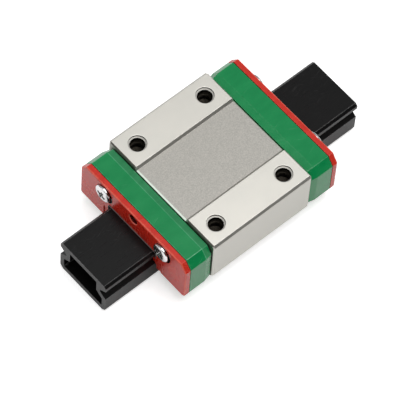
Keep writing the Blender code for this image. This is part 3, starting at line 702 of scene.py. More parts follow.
def make_transport_rail():
    low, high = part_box("dummy_rail")
    outer, hollow = section("dummy_rail", 0, (low.x + high.x) / 2)
    outer = slim_outline(outer)
    pairs = rounded_end(low.x, -1.0, RAIL_END_BREAK)[::-1] + rounded_end(high.x, 1.0, RAIL_END_BREAK)
    rail = loft("transport_rail", [(x, rounded(inset(outer, d), RAIL_CORNER)) for x, d in pairs])
    mouth = rounded(inset(hollow, -RAIL_END_BREAK), HOLLOW_CORNER)
    inner = rounded(hollow, HOLLOW_CORNER)
    core = loft("rail_core", [
        (low.x - CUTTER_OVERSHOOT, mouth), (low.x, mouth), (low.x + RAIL_END_BREAK, inner),
        (high.x - RAIL_END_BREAK, inner), (high.x, mouth), (high.x + CUTTER_OVERSHOOT, mouth),
    ])
    carve(rail, [core])
    return smooth(rail)


finish_piece(make_transport_rail(), BLACK_EXTRUSION, RAIL_BODY, "rail_plastic", "dummy_rail")

# %% [markdown]
# ## The steel block
# The block is one extrusion with ball raceways, drilled lengthways for the returning balls, drilled and
# tapped from above for four M3 screws and from its ends for the cap screws. The bores are cut again here
# with finer cutters at the places where the CAD section shows them. The mounting holes are opened to the
# thread's root, because the thread itself comes afterwards as a raised ridge.

# %% Build the block
BLOCK_CORNER = 0.07 * MM
BLOCK_END_CHAMFER = 0.20 * MM
BORE_FACETS = 64
HOLE_MOUTH = 3.4 * MM
MOUTH_DEPTH = 0.42 * MM
MOUTH_EDGE = 0.05 * MM
# How much painted shade the front ends of the pads and the block's end faces get.
PAD_END_SHADE = 0.88
END_FACE_SHADE = 0.35
THREAD_ROOT = 3.0 * MM
THREAD_CREST = 2.5 * MM
THREAD_PITCH = 0.5 * MM
HOLE_DEPTH = 3.5 * MM
DRILL_POINT = math.radians(118.0)


def tapped_hole_profile():
    """Up from the drill point: the bore at the thread's root, a ring and a short wide mouth."""
    mouth, crest, root = HOLE_MOUTH / 2, THREAD_CREST / 2, THREAD_ROOT / 2
    lead_in = (crest + root) / 2
    return [
        (0.0, -HOLE_DEPTH - root / math.tan(DRILL_POINT / 2)),
        (root, -HOLE_DEPTH),
        (root, -MOUTH_DEPTH - (root - lead_in)),
        (lead_in, -MOUTH_DEPTH),
        (mouth - MOUTH_EDGE, -MOUTH_DEPTH + MOUTH_EDGE),
        (mouth - MOUTH_EDGE, -MOUTH_EDGE / 2),
        (mouth, 0.0),
        (mouth, CUTTER_OVERSHOOT),
        (0.0, CUTTER_OVERSHOOT),
    ]


def mount_hole_places():
    """Centres of the four mounting holes, read from a level cut under the pads."""
    loops = section("steel_block", 2, PAD_LEVEL - 1.0 * MM)[1:]
    return sorted((circle_of(loop)[0] for loop in loops), key=lambda centre: (centre.x, centre.y))


def mark_painted_shade(piece, top):
    """Marks painted shade on the insides of the mounting holes, the block's end faces and the front ends of its
    pads.
    """
    centres = mount_hole_places()

    def steel_face_shade(face):
        in_hole = min((face.center.xy - centre).length for centre in centres) < HOLE_MOUTH / 2
        if in_hole and face.center.z < top:
            return 1.0
        if in_hole:
            return abs(face.normal.z) < 0.5 and face.center.z < PAD_LEVEL - MOUTH_EDGE
        pad_end = face.normal.x < -0.35 and face.center.z > PAD_LEVEL - 0.5 * STRIP_DEPTH
        if abs(face.normal.x) > 0.9:
            return END_FACE_SHADE
        return PAD_END_SHADE if pad_end else 0.0

    mark_faces(piece, "oily", steel_face_shade)


def mark_strip_end(piece):
    """Marks the strip's broken front edge for a painted highlight, tinted green as a painted reflection of the
    cap.
    """
    end_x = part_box("steel_block")[0].x + 2 * BLOCK_END_CHAMFER

    def brightness(face):
        leaning = -0.8 < face.normal.x < -0.6 and face.normal.z > 0.6
        low = PAD_LEVEL - 2 * STRIP_DEPTH < face.center.z < PAD_LEVEL - 0.5 * STRIP_DEPTH
        return leaning and low and face.center.x < end_x

    mark_faces(piece, "worn", brightness)


def make_block():
    low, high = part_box("steel_block")
    outer, *bores = section("steel_block", 0, 0.0)
    chamfer = BLOCK_END_CHAMFER
    round_off = BLOCK_CORNER / 2
    pairs = [(0.0, chamfer + round_off), (round_off, chamfer), (chamfer, round_off), (chamfer + round_off, 0.0)]
    stations = [(low.x + x, d) for x, d in pairs] + [(high.x - x, d) for x, d in reversed(pairs)]
    block = loft("carriage_block", [(x, rounded(inset(outer, d), BLOCK_CORNER)) for x, d in stations])
    cutters = []
    for loop in bores:
        centre, radius = circle_of(loop)
        reach = high.x + CUTTER_OVERSHOOT
        rod = [(0.0, -reach), (radius, -reach), (radius, reach), (0.0, reach)]
        cutters.append(turned("return_bore", rod, BORE_FACETS, (0.0, centre.x, centre.y), along="X"))
    for centre in mount_hole_places():
        cutters.append(turned("mount_hole", tapped_hole_profile(), BORE_FACETS, (*centre, PAD_LEVEL)))
    for end_x in (low.x, high.x):
        for loop in section("steel_block", 0, end_x * 0.95)[1:]:
            centre, radius = circle_of(loop)
            if all((centre - circle_of(bore)[0]).length > radius for bore in bores):
                inner = abs(end_x) - 2.4 * MM
                rod = [(0.0, inner), (radius, inner), (radius, reach), (0.0, reach)]
                place = (0.0, centre.x, centre.y)
                hole = turned("cap_screw_hole", rod, BORE_FACETS // 2, place, along="X")
                cutters.append(mirrored(hole) if end_x < 0.0 else hole)
    carve(block, cutters)
    mark_painted_shade(block, PAD_LEVEL - MOUTH_DEPTH - MOUTH_EDGE)
    mark_strip_end(block)
    return smooth(block)


finish_piece(make_block(), GROUND_STEEL, CARRIAGE_BODY, "block_steel", "steel_block")

# %% [markdown]
# ## Threads that follow a rule
# A thread is one small triangle carried round and round a helix. Geometry Nodes has both halves of that
# rule: a spiral curve and a profile swept along it. One tree makes the ridge, and puts a copy at each
# point of the mesh it is given, so the same tree serves the four mounting holes.

# %% The thread tree
INT = "NodeSocketInt"
GEOMETRY = "NodeSocketGeometry"
MATERIAL = "NodeSocketMaterial"
OBJECT = "NodeSocketObject"


def geometry_tree(name, inputs):
    """An empty geometry tree with named inputs; returns the tree and its input node."""
    tree = bpy.data.node_groups.new(name, "GeometryNodeTree")
    tree.interface.new_socket("Geometry", in_out="INPUT", socket_type=GEOMETRY)
    for label, kind in inputs:
        tree.interface.new_socket(label, in_out="INPUT", socket_type=kind)
    tree.interface.new_socket("Geometry", in_out="OUTPUT", socket_type=GEOMETRY)
    return tree, tree.nodes.new("NodeGroupInput")


def end_tree(tree, given, geometry):
    """Realize Instances, Set Material and the way out, which every tree here ends in."""
    real = put(tree, "GeometryNodeRealizeInstances", {0: geometry}).outputs[0]
    soft = put(tree, "GeometryNodeSetShadeSmooth", {"Geometry": real}).outputs[0]
    painted = put(tree, "GeometryNodeSetMaterial",
                  {"Geometry": soft, "Material": given.outputs["Material"]}).outputs[0]
    put(tree, "NodeGroupOutput", {0: painted})


def helix_ridge(tree, given):
    """A closed ridge with a triangular section along a spiral."""
    turns = put(tree, "ShaderNodeMath", {0: given.outputs["Length"], 1: given.outputs["Pitch"]},
                operation="DIVIDE").outputs[0]
    spiral = put(tree, "GeometryNodeCurveSpiral", {
        "Resolution": given.outputs["Facets"], "Rotations": turns,
        "Start Radius": given.outputs["Radius"], "End Radius": given.outputs["Radius"],
        "Height": given.outputs["Length"],
    }).outputs[0]
    section_curve = put(tree, "GeometryNodeCurvePrimitiveCircle",
                        {"Resolution": 3, "Radius": given.outputs["Ridge"]}, mode="RADIUS").outputs[0]
    aimed = put(tree, "GeometryNodeTransform", {"Geometry": section_curve}).outputs[0]
    aimed.node.inputs["Rotation"].default_value = (0.0, 0.0, RIDGE_AIM)
    ridge = put(tree, "GeometryNodeCurveToMesh", {"Curve": spiral, "Profile Curve": aimed}).outputs[0]
    ridge.node.inputs["Fill Caps"].default_value = True
    return ridge


RIDGE_AIM = math.radians(180.0)


def make_thread_tree():
    tree, given = geometry_tree("tapped_threads", [
        ("Radius", FLOAT), ("Pitch", FLOAT), ("Length", FLOAT), ("Ridge", FLOAT), ("Facets", INT),
        ("Material", MATERIAL)])
    ridge = helix_ridge(tree, given)
    copies = put(tree, "GeometryNodeInstanceOnPoints",
                 {"Points": given.outputs["Geometry"], "Instance": ridge}).outputs[0]
    end_tree(tree, given, copies)
    return tree


def grow(piece, tree, **values):
    """Runs a geometry tree on a piece with its inputs set, and keeps the plain mesh that comes out."""
    modifier = piece.modifiers.new(tree.name, "NODES")
    modifier.node_group = tree
    sockets = {item.name: item.identifier for item in tree.interface.items_tree if item.in_out == "INPUT"}
    for label, value in values.items():
        modifier[sockets[label.replace("_", " ")]] = value
    piece.data.update()
    return freeze(piece)


def points_piece(name, places):
    """A mesh of loose points, which a geometry tree turns into pieces."""
    bm = bmesh.new()
    for place in places:
        bm.verts.new(place)
    return new_piece(name, bm)


# %% Cut the threads
RIDGE_HEIGHT = (THREAD_ROOT - THREAD_CREST) / 2
RIDGE_RADIUS = RIDGE_HEIGHT / 1.5
THREAD_LENGTH = 2.5 * MM
THREAD_TOP = PAD_LEVEL - 0.75 * MM

hole_threads = points_piece(
    "mount_hole_threads", [(*centre, THREAD_TOP - THREAD_LENGTH) for centre in mount_hole_places()])
grow(hole_threads, make_thread_tree(), Radius=THREAD_CREST / 2 + RIDGE_RADIUS, Pitch=THREAD_PITCH,
     Length=THREAD_LENGTH, Ridge=RIDGE_RADIUS, Facets=28, Material=GROUND_STEEL)
hole_threads.data.set_sharp_from_angle(angle=SHARP)
mark_painted_shade(hole_threads, PAD_LEVEL)
finish_piece(hole_threads, GROUND_STEEL, CARRIAGE_BODY, "block_steel")
first_hole = mount_hole_places()[0]
reach = [(Vector((vert.co.x, vert.co.y)) - first_hole).length for vert in hole_threads.data.vertices]
print("Thread crest radius in mm:", round(min(reach) / MM, 3))

# %% [markdown]
# ## End caps
# The caps turn the balls round, so inside they are full of channels that the CAD solids already have. A
# copy of each solid keeps them all. Its triangles are merged back into whole faces, and only the long
# outer edges are bevelled, as the moulding tool would leave them.

# %% Round a copy of a CAD solid
CAP_EDGE = 0.07 * MM
LONG_EDGE = 0.75 * MM
TAPER_TURN = (math.radians(10.0), math.radians(14.0))
TAPER_LEAN = (0.15, 0.30)
# On the front cap the slope beside the steel gets a painted highlight and is made greyer and darker.
TAPER_HIGHLIGHT = 0.30
TAPER_DARKENING = 0.20


def worth_rounding(edge):
    """Long edges that are sharp, or that turn by as little as the slope beside the steel does."""
    if not edge.is_manifold or edge.calc_length() < LONG_EDGE:
        return False
    turn = edge.calc_face_angle()
    return turn > GENTLE or TAPER_TURN[0] < turn < TAPER_TURN[1]


def rounded_copy(name, node, width, painted_light):
    """A merged copy of a CAD solid with its long edges rounded; a share of painted light paints a highlight on
    those that face up and on the slope beside the steel, and greys that slope.
    """
    bm = bmesh.new()
    bm.from_mesh(NODES[node].data)
    bmesh.ops.remove_doubles(bm, verts=bm.verts, dist=0.0001 * MM)
    bmesh.ops.dissolve_limit(bm, angle_limit=STRAIGHT, verts=bm.verts, edges=bm.edges)
    edges = [edge for edge in bm.edges if worth_rounding(edge)]
    worn = bm.faces.layers.float.new("rubbed")
    made = bmesh.ops.bevel(
        bm, geom=edges, offset=width, offset_type="OFFSET", segments=3, profile=0.5,
        affect="EDGES", clamp_overlap=False,
    )
    for face in made["faces"]:
        face.normal_update()
        face[worn] = painted_light if face.normal.z > 0.5 and abs(face.normal.x) < 0.35 else 0.0
    darkened = bm.faces.layers.float.new("sunk")
    for face in set(bm.faces) - set(made["faces"]):
        if face.normal.z > 0.9 and TAPER_LEAN[0] < face.normal.x < TAPER_LEAN[1]:
            face[worn], face[darkened] = TAPER_HIGHLIGHT * painted_light, TAPER_DARKENING * painted_light
    print(f"{name}: {len(edges)} edges rounded")
    return new_piece(name, bm)


# Only the front cap carries the painted highlight and the greyer slope.
front_cap = rounded_copy("front_cap", "front_end_cap", CAP_EDGE, 1.0)
rear_cap = mirrored(rounded_copy("rear_cap", "front_end_cap", CAP_EDGE, 0.0))
for cap, node in ((front_cap, "front_end_cap"), (rear_cap, "rear_end_cap")):
    finish_piece(smooth(cap), GREEN_PLASTIC, CARRIAGE_BODY, "cap_plastic", node)

# %% [markdown]
# ## End seals
# The seals are thin plates that wipe the rail. Their front edge is rounded on the outside, so the loft
# ends in a quarter circle of shrinking outlines, but the opening stays crisp and comes close to the rail.
# The lubrication hole and the two counterbores are cut with round cutters, and a shallow step marks where
# the plate is thinner beside the rail. A thin wiping lip of grey rubber arches over the rail.

# %% Build the seals
SEAL_CORNER = 0.10 * MM
SEAL_EDGE = 0.30 * MM
HEAD_SINK = 0.40 * MM
HEAD_CLEARANCE = 0.20 * MM
SINK_SHIFT = {"front": Vector((-0.15 * MM, -0.11 * MM)), "rear": Vector((0.0, 0.0))}
LUBE_FLARE = 0.14 * MM
LIP_HALF_WIDTH = 7.4 * MM
LIP_TOP = 6.4 * MM
LIP_STEP = 0.20 * MM
MOUTH_ROUND = 0.05 * MM
SEAM_CLOSED = 0.09 * MM
OPENING_REACH = 0.17 * MM
GROOVE_TIP = 0.5 * MM
# Faces on the seal's rounded rim that get a painted highlight.
RIM_HIGHLIGHT_LEAN = (0.30, 0.90)
LUBE_SHADE = 0.8
SUNK_LIP = 0.02 * MM
WIPER_REACH = (0.12 * MM, 0.24 * MM)
WIPER_PROUD = 0.12 * MM


def opening_size(outline):
    """Half the width and the top of the opening over the rail."""
    return [max(values) for values in zip(*[point for point in outline if abs(point.x) < LIP_HALF_WIDTH])]


def seal_ring(outline, shrink):
    """The outline shrunk on its outside, with the opening drawn in close to the rail."""
    half, top = opening_size(outline)
    foot = min(point.y for point in outline)
    ring = []
    for here, small, lip in zip(outline, inset(outline, shrink), inset(outline, -OPENING_REACH)):
        if abs(here.x) > half + CAP_EDGE or here.y > top + CAP_EDGE:
            ring.append(small)
        elif here.y < foot + CAP_EDGE:
            ring.append(Vector((lip.x, small.y)))
        elif abs(here.x) < half - GROOVE_TIP:
            ring.append(Vector((here.x, lip.y)))
        else:
            ring.append(lip)
    return ring


def mark_seal(seal, face_x, sinks):
    """Marks a painted highlight on the rim's rounded edge and painted shade inside the holes."""
    def rubbed(face):
        return RIM_HIGHLIGHT_LEAN[0] < face.normal.x < RIM_HIGHLIGHT_LEAN[1] and face.normal.z > -0.3

    def sunk(face):
        if face_x - face.center.x < SUNK_LIP:
            return 0.0
        shades = [shade for centre, reach, shade in sinks if (face.center.yz - centre).length < reach]
        return max(shades, default=0.0)

    mark_faces(seal, "rubbed", rubbed)
    mark_faces(seal, "sunk", sunk)


def round_hole(name, radius, place, start_x, face_x, flare):
    """A cutter for a round hole along X that opens at face_x, its mouth flared a little."""
    depth = face_x - start_x
    over = depth + CUTTER_OVERSHOOT
    profile = [(0.0, 0.0), (radius, 0.0), (radius, depth - flare), (radius + flare, depth),
               (radius + flare, over), (0.0, over)]
    return turned(name, profile, BORE_FACETS, (start_x, place.x, place.y), along="X")


def seal_faces():
    """Where the rear seal's back and face lie."""
    low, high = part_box("rear_end_seal")
    return low.x, high.x


def make_seal(end):
    back_x, face_x = seal_faces()
    start_x = back_x - CUTTER_OVERSHOOT
    outer, *holes = section("rear_end_seal", 0, back_x + 0.3 * MM)
    pairs = rounded_end(back_x - SEAM_CLOSED, -1.0, SEAL_CORNER / 2, 2)[::-1]
    pairs += rounded_end(face_x, 1.0, SEAL_EDGE, 6)
    seal = loft(f"{end}_seal", [(x, rounded(seal_ring(outer, d), SEAL_CORNER)) for x, d in pairs])
    head_low, head_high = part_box("rear_left_screw")
    sink_radius = (head_high.y - head_low.y) / 2 + HEAD_CLEARANCE
    cutters, sinks = [], []
    for loop in holes:
        centre, radius = circle_of(loop)
        if abs(centre.x) < radius:
            sinks.append((centre, radius + SUNK_LIP, LUBE_SHADE))
            cutters.append(round_hole("lube_hole", radius, centre, start_x, face_x, LUBE_FLARE))
            continue
        aside = centre + SINK_SHIFT[end]
        sinks.append((aside, sink_radius + MOUTH_ROUND, 1.0))
        cutters.append(round_hole("screw_hole", radius, centre, start_x, face_x, MOUTH_ROUND))
        cutters.append(round_hole("counterbore", sink_radius, aside, face_x - HEAD_SINK, face_x, MOUTH_ROUND))
    foot = min(point.y for point in outer) - CUTTER_OVERSHOOT
    cutters.append(block_shape("lip_step", (face_x - LIP_STEP, -LIP_HALF_WIDTH, foot),
                               (face_x + CUTTER_OVERSHOOT, LIP_HALF_WIDTH, LIP_TOP)))
    carve(seal, cutters)
    mark_seal(seal, face_x, sinks)
    return smooth(mirrored(seal) if end == "front" else seal)


for end in ("front", "rear"):
    finish_piece(make_seal(end), RED_PLASTIC, CARRIAGE_BODY, "seal_plastic", f"{end}_end_seal")

# %% The wiping lips
def wiper_arch(outline, reach):
    """The path over the rail from one side to the other, at a distance inside the seal's opening."""
    half, top = opening_size(outline)
    corner = half - max(point.x for point in outline if abs(point.y - top) < SUNK_LIP)
    lean = reach * math.tan(math.pi / 8)
    side = [(half - reach, LIP_TOP), (half - reach, top - corner - lean), (half - corner - lean, top - reach)]
    return [Vector(point) for point in side] + [Vector((-y, z)) for y, z in reversed(side)]


def make_wiper(end):
    face_x = seal_faces()[1]
    outline = section("rear_end_seal", 0, face_x - 0.7 * MM)[0]
    near, far = (wiper_arch(outline, reach) for reach in WIPER_REACH)
    ring = near + far[::-1]
    wiper = loft(f"{end}_wiper", [(face_x - 0.5 * MM, ring), (face_x + WIPER_PROUD, ring)])
    return smooth(mirrored(wiper) if end == "front" else wiper)


for end in ("front", "rear"):
    finish_piece(make_wiper(end), WIPER_RUBBER, CARRIAGE_BODY, "seal_plastic")

# %% [markdown]
# ## Cap screws
# Four M2 screws with cross-recessed pan heads hold the caps. They are the same screw, each stopped at a
# different angle when it was tight. One screw is turned and its recess cut, and a tree adds its thread
# and puts it on four points. Each point carries the angles of its screw as an attribute.

# %% The pattern screw
HEAD_RIM = 0.50 * MM
HEAD_DOME = 0.40 * MM
HEAD_CROWN = 0.35
HEAD_EDGE = 0.08 * MM
SHANK_RADIUS = 1.0 * MM
CORE_RADIUS = 0.80 * MM
RECESS_SPAN = 2.0 * MM
RECESS_SLOT = 0.6 * MM
RECESS_DEPTH = 0.8 * MM
RECESS_TAPER = 0.45
RECESS_LIP = 0.04 * MM
# How much painted shade the side of a screw head gets.
HEAD_SIDE_SHADE = 0.3
SCREW_PITCH = 0.4 * MM
SCREW_TURN = {"front_left": 70.0, "front_right": 64.0, "rear_left": 70.0, "rear_right": 33.0}
SCREW_NODES = [f"{corner}_screw" for corner in SCREW_TURN]


def screw_profile(head, length):
    """(radius, x) points down from the middle of the dome, which lies at x = 0, to the screw's tip."""
    crown = head * HEAD_CROWN
    seat = -HEAD_DOME - HEAD_RIM
    points = [(0.0, 0.0)]
    for step in range(9):
        angle = math.pi / 2 * step / 8
        points.append((crown + (head - crown) * math.sin(angle), HEAD_DOME * (math.cos(angle) - 1.0)))
    points += [
        (head, seat + HEAD_EDGE), (head - HEAD_EDGE, seat), (CORE_RADIUS + 0.15 * MM, seat),
        (CORE_RADIUS, seat - 0.15 * MM), (CORE_RADIUS, -length + CORE_RADIUS / 2),
        (CORE_RADIUS / 2, -length), (0.0, -length),
    ]
    return points


def cross_outline(span, slot):
    reach, half = span / 2, slot / 2
    points = []
    for turn in range(4):
        quarter = Matrix.Rotation(math.pi / 2 * turn, 2)
        points += [quarter @ Vector(point) for point in ((reach, -half), (reach, half), (half, half))]
    return points


def mark_recess(screw, head):
    """Marks painted shade inside the cross and on the side of the head."""
    def screw_face_shade(face):
        middle = face.center
        radius = middle.yz.length
        if middle.x < -HEAD_DOME - HEAD_RIM:
            return 0.0
        if middle.x < -HEAD_DOME:
            return HEAD_SIDE_SHADE
        share = min(1.0, max(0.0, radius - head * HEAD_CROWN) / (head - head * HEAD_CROWN))
        surface = HEAD_DOME * (math.sqrt(1.0 - share * share) - 1.0)
        return middle.x < surface - RECESS_LIP and radius < RECESS_SPAN / 2

    mark_faces(screw, "recess", screw_face_shade)


def make_pattern_screw():
    low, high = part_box(SCREW_NODES[0])
    head = (high.y - low.y) / 2
    screw = turned("pattern_screw", screw_profile(head, high.x - low.x), BORE_FACETS, along="X")
    floor = rounded(cross_outline(RECESS_SPAN * RECESS_TAPER, RECESS_SLOT * RECESS_TAPER), 0.04 * MM)
    mouth = rounded(cross_outline(RECESS_SPAN, RECESS_SLOT), 0.09 * MM)
    flare = rounded(cross_outline(RECESS_SPAN * 1.1, RECESS_SLOT * 1.25), 0.10 * MM)
    cross = loft("cross_recess", [(-RECESS_DEPTH, floor), (0.02 * MM, mouth), (0.30 * MM, flare)])
    carve(screw, [cross])
    mark_recess(screw, head)
    return smooth(screw)


def make_screw_tree():
    tree, given = geometry_tree("cap_screws", [
        ("Screw", OBJECT), ("Radius", FLOAT), ("Pitch", FLOAT), ("Length", FLOAT), ("Ridge", FLOAT),
        ("Facets", INT), ("Start", FLOAT), ("Material", MATERIAL)])
    pattern = put(tree, "GeometryNodeObjectInfo", {"Object": given.outputs["Screw"]}).outputs["Geometry"]
    shift = put(tree, "ShaderNodeCombineXYZ", {"X": given.outputs["Start"]}).outputs[0]
    thread = put(tree, "GeometryNodeTransform",
                 {"Geometry": helix_ridge(tree, given), "Translation": shift}).outputs[0]
    thread.node.inputs["Rotation"].default_value = (0.0, math.pi / 2, 0.0)
    joined = tree.nodes.new("GeometryNodeJoinGeometry")
    tree.links.new(pattern, joined.inputs[0])
    tree.links.new(thread, joined.inputs[0])
    aim = put(tree, "GeometryNodeInputNamedAttribute", {"Name": "aim"}, data_type="FLOAT_VECTOR")
    turn = put(tree, "FunctionNodeEulerToRotation", {0: aim.outputs["Attribute"]}).outputs[0]
    copies = put(tree, "GeometryNodeInstanceOnPoints", {
        "Points": given.outputs["Geometry"], "Instance": joined.outputs[0], "Rotation": turn}).outputs[0]
    end_tree(tree, given, copies)
    return tree


# %% Four screws from one
def make_cap_screws():
    places, aims = [], []
    for corner, degrees in SCREW_TURN.items():
        low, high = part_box(f"{corner}_screw")
        facing_rear = high.x > 0.0
        places.append((high.x if facing_rear else low.x, (low.y + high.y) / 2, (low.z + high.z) / 2))
        aims += [math.radians(degrees), 0.0, 0.0 if facing_rear else math.pi]
    screws = points_piece("cap_screws", places)
    screws.data.attributes.new("aim", "FLOAT_VECTOR", "POINT").data.foreach_set("vector", aims)
    pattern = make_pattern_screw()
    length = (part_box(SCREW_NODES[0])[1].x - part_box(SCREW_NODES[0])[0].x)
    neck = HEAD_DOME + HEAD_RIM + 0.4 * MM
    thread_length = length - neck - CORE_RADIUS
    ridge = (SHANK_RADIUS - CORE_RADIUS) / 1.5
    grow(screws, make_screw_tree(), Screw=pattern, Radius=CORE_RADIUS + ridge / 2, Pitch=SCREW_PITCH,
         Length=thread_length, Ridge=ridge, Facets=20, Start=-neck - thread_length, Material=SCREW_METAL)
    bpy.data.meshes.remove(pattern.data)
    screws.data.set_sharp_from_angle(angle=SHARP)
    return screws


finish_piece(make_cap_screws(), SCREW_METAL, CARRIAGE_BODY, "screw_steel", *SCREW_NODES)

# %% [markdown]
# ## Balls
# The CAD balls are coarse, because there are forty-two of them. Each one's middle is read from the frame,
# and a tree puts a finely divided ball there. A sphere made of rings has a pole that shows as a pinch in a
# mirror finish, so an icosphere is used.

# %% Two circuits of balls
def make_ball_tree():
    tree, given = geometry_tree("ball_circuit", [("Radius", FLOAT), ("Fineness", INT), ("Material", MATERIAL)])
    ball = put(tree, "GeometryNodeMeshIcoSphere", {
        "Radius": given.outputs["Radius"], "Subdivisions": given.outputs["Fineness"]}).outputs["Mesh"]
    copies = put(tree, "GeometryNodeInstanceOnPoints",
                 {"Points": given.outputs["Geometry"], "Instance": ball}).outputs[0]
    end_tree(tree, given, copies)
    return tree


BALL_TREE = make_ball_tree()
for side in ("left", "right"):
    names = sorted(name for name in NODES if name.startswith(f"{side}_ball_"))
    boxes = [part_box(name) for name in names]
    radius = max(high.z - low.z for low, high in boxes) / 2
    balls = points_piece(f"{side}_ball_circuit", [(low + high) / 2 for low, high in boxes])
    grow(balls, BALL_TREE, Radius=radius, Fineness=4, Material=BALL_METAL)
    finish_piece(balls, BALL_METAL, CARRIAGE_BODY, "ball_steel", *names)
    print(f"{side}: {len(names)} balls of {2 * radius / MM:.3f} mm")

# %% [markdown]
# ## Retaining wires
# A thin wire runs in each groove of the rail, so that the loaded balls stay in when the carriage is slid
# off. Its ends are bent out and hook into the caps. The tree takes four corner points, rounds the bends
# with a fillet and sweeps a circle along the result.

# %% Bend the wires
WIRE_RADIUS = 0.25 * MM
WIRE_BEND = 0.80 * MM


def make_wire_tree():
    tree, given = geometry_tree("bent_wire", [("Radius", FLOAT), ("Bend", FLOAT), ("Material", MATERIAL)])
    path = put(tree, "GeometryNodeMeshToCurve", {0: given.outputs["Geometry"]}).outputs[0]
    bent = put(tree, "GeometryNodeFilletCurve",
               {"Curve": path, "Radius": given.outputs["Bend"], "Count": 10}, mode="POLY").outputs[0]
    circle = put(tree, "GeometryNodeCurvePrimitiveCircle",
                 {"Resolution": 16, "Radius": given.outputs["Radius"]}, mode="RADIUS").outputs[0]
    wire = put(tree, "GeometryNodeCurveToMesh", {"Curve": bent, "Profile Curve": circle}).outputs[0]
    wire.node.inputs["Fill Caps"].default_value = True
    end_tree(tree, given, wire)
    return tree


def make_wire(side, tree):
    low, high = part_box(f"{side}_retaining_wire")
    inner_y = low.y + WIRE_RADIUS if side == "left" else high.y - WIRE_RADIUS
    tip_y = high.y if side == "left" else low.y
    end_x = high.x - WIRE_RADIUS
    middle_z = (low.z + high.z) / 2
    bm = bmesh.new()
    corners = [(-end_x, tip_y), (-end_x, inner_y), (end_x, inner_y), (end_x, tip_y)]
    verts = [bm.verts.new((x, y, middle_z)) for x, y in corners]
    for pair in zip(verts, verts[1:]):
        bm.edges.new(pair)
    wire = new_piece(f"{side}_wire", bm)
    grow(wire, tree, Radius=WIRE_RADIUS, Bend=WIRE_BEND, Material=WIRE_METAL)
    wire.data.set_sharp_from_angle(angle=SHARP)
    return wire


WIRE_TREE = make_wire_tree()
for side in ("left", "right"):
    wire = make_wire(side, WIRE_TREE)
    finish_piece(wire, WIRE_METAL, CARRIAGE_BODY, "wire_steel", f"{side}_retaining_wire")

# %% [markdown]
# ## Return guides
# The four half spools that guide the balls round their turn sit out of sight in the caps. Their CAD shape
# is right, so they only get their plastic.

# %% Guide plastic on the CAD nodes
for name in NODES:
    if name.endswith("_return_guide"):
        mesh = NODES[name].data
        mesh.materials.clear()
        mesh.materials.append(GUIDE_PLASTIC)

# %% [markdown]
# ## Floor, world and lamps
# The photograph is a cut-out on white. The floor is pale and catches a soft shadow; for camera rays alone
# it also glows a little, so that it reads as white without any more light on the object. A large soft
# lamp above and a weaker one in front do the lighting, and the world fills the shadows.

# %% Stage
FLOOR_HALF = 0.6
FLOOR_DROP = 0.01 * MM
FLOOR_GLOW_SEEN = 0.55
FLOOR_GLOW_MIRRORED = 0.14
SKY_LEVEL = 0.32
DARK_SIDE = -0.80
DARK_SIDE_ENDS = -0.40
DARK_SHARE = 0.05
DARK_TINT = (1.0, 0.90, 0.76, 1.0)
WHITE = (1.0, 1.0, 1.0, 1.0)


def make_floor():
    bm = bmesh.new()
    bmesh.ops.create_grid(bm, x_segments=1, y_segments=1, size=FLOOR_HALF)
    bmesh.ops.translate(bm, verts=bm.verts, vec=(0.0, 0.0, cad_low.z - FLOOR_DROP))
    floor = new_piece("floor", bm)
    material = bpy.data.materials.new("pale_floor")
    material.use_nodes = True
    tree = material.node_tree
    tree.nodes.clear()
    matt = put(tree, "ShaderNodeBsdfDiffuse", {"Color": (0.90, 0.90, 0.90, 1.0)}).outputs[0]
    path = put(tree, "ShaderNodeLightPath")
    seen = maths(tree, "MULTIPLY", path.outputs["Is Camera Ray"], FLOOR_GLOW_SEEN)
    mirrored = maths(tree, "MULTIPLY", path.outputs["Is Glossy Ray"], FLOOR_GLOW_MIRRORED)
    lift = maths(tree, "ADD", seen, mirrored)
    glow = put(tree, "ShaderNodeEmission", {"Color": (1.0, 1.0, 1.0, 1.0), "Strength": lift}).outputs[0]
    both = put(tree, "ShaderNodeAddShader", {0: matt, 1: glow}).outputs[0]
    put(tree, "ShaderNodeOutputMaterial", {"Surface": both})
    floor.data.materials.append(material)


def make_world():
    world = bpy.data.worlds.new("studio")
    bpy.context.scene.world = world
    world.use_nodes = True
    tree = world.node_tree
    tree.nodes.clear()
    path = put(tree, "ShaderNodeLightPath")
    direction = put(tree, "ShaderNodeTexCoord").outputs["Generated"]
    across = put(tree, "ShaderNodeSeparateXYZ", {0: direction}).outputs["Y"]
    seen = path.outputs["Is Camera Ray"]
    open_sky = ramp(tree, across, DARK_SIDE, DARK_SIDE_ENDS)
    level = ramp(tree, open_sky, 0.0, 1.0, SKY_LEVEL * DARK_SHARE, SKY_LEVEL)
    strength = put(tree, "ShaderNodeMix", {0: seen, 2: level, 3: 1.0}, data_type="FLOAT").outputs[0]
    tint = blend_colour(tree, maths(tree, "MAXIMUM", open_sky, seen), DARK_TINT, WHITE)
    sky = put(tree, "ShaderNodeBackground", {"Color": tint, "Strength": strength}).outputs[0]
    put(tree, "ShaderNodeOutputWorld", {"Surface": sky})


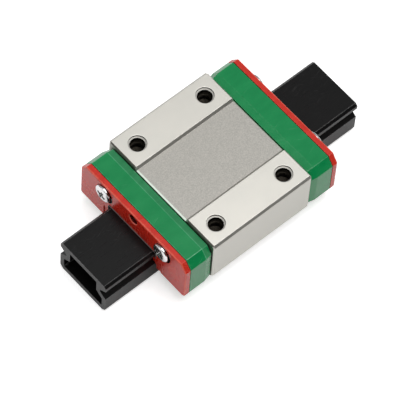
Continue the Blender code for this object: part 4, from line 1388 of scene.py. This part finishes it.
def add_lamp(name, place, size, watts):
    light = bpy.data.lights.new(name, "AREA")
    light.shape = "SQUARE"
    light.size = size
    light.energy = watts
    lamp = bpy.data.objects.new(name, light)
    lamp.location = place
    lamp.rotation_euler = (-Vector(place)).to_track_quat("-Z", "Y").to_euler()
    bpy.context.scene.collection.objects.link(lamp)


make_floor()
make_world()
add_lamp("overhead_softbox", (0.06, -0.10, 0.62), 0.50, 3.05)
add_lamp("side_fill", (-0.52, 0.20, 0.22), 0.30, 0.28)

# %% [markdown]
# ## Camera
# The photograph was taken from far away with a long lens, from the front right corner and well above. The
# angles below bring every corner of the frame onto its place in the picture.

# %% Place the camera
PHOTO_PIXELS = 400
AZIMUTH = math.radians(-45.17)
ELEVATION = math.radians(59.43)
ROLL = math.radians(4.83)
DISTANCE = 597.0 * MM
PIXELS_PER_MM = 5.937
SHIFT_PIXELS = (9.0, -26.2)
LOOK_AT = Vector((0.0, 0.0, 8.0 * MM))
SENSOR = 36.0


def make_camera():
    back = Vector((math.sin(AZIMUTH) * math.cos(ELEVATION), -math.cos(AZIMUTH) * math.cos(ELEVATION),
                   math.sin(ELEVATION)))
    level = Vector((math.cos(AZIMUTH), math.sin(AZIMUTH), 0.0))
    over = back.cross(level)
    right = math.cos(ROLL) * level + math.sin(ROLL) * over
    up = -math.sin(ROLL) * level + math.cos(ROLL) * over
    aside = -SHIFT_PIXELS[0] / PIXELS_PER_MM * MM
    above = SHIFT_PIXELS[1] / PIXELS_PER_MM * MM
    eye = LOOK_AT + aside * right + above * up + DISTANCE * back
    data = bpy.data.cameras.new("camera")
    data.sensor_width = SENSOR
    data.lens = PIXELS_PER_MM * (DISTANCE / MM) / PHOTO_PIXELS * SENSOR
    data.clip_start = 0.05
    camera = bpy.data.objects.new("camera", data)
    bpy.context.scene.collection.objects.link(camera)
    camera.matrix_world = Matrix((
        (right.x, up.x, back.x, eye.x),
        (right.y, up.y, back.y, eye.y),
        (right.z, up.z, back.z, eye.z),
        (0.0, 0.0, 0.0, 1.0),
    ))
    bpy.context.scene.camera = camera


make_camera()
bpy.context.scene.view_settings.view_transform = "Standard"
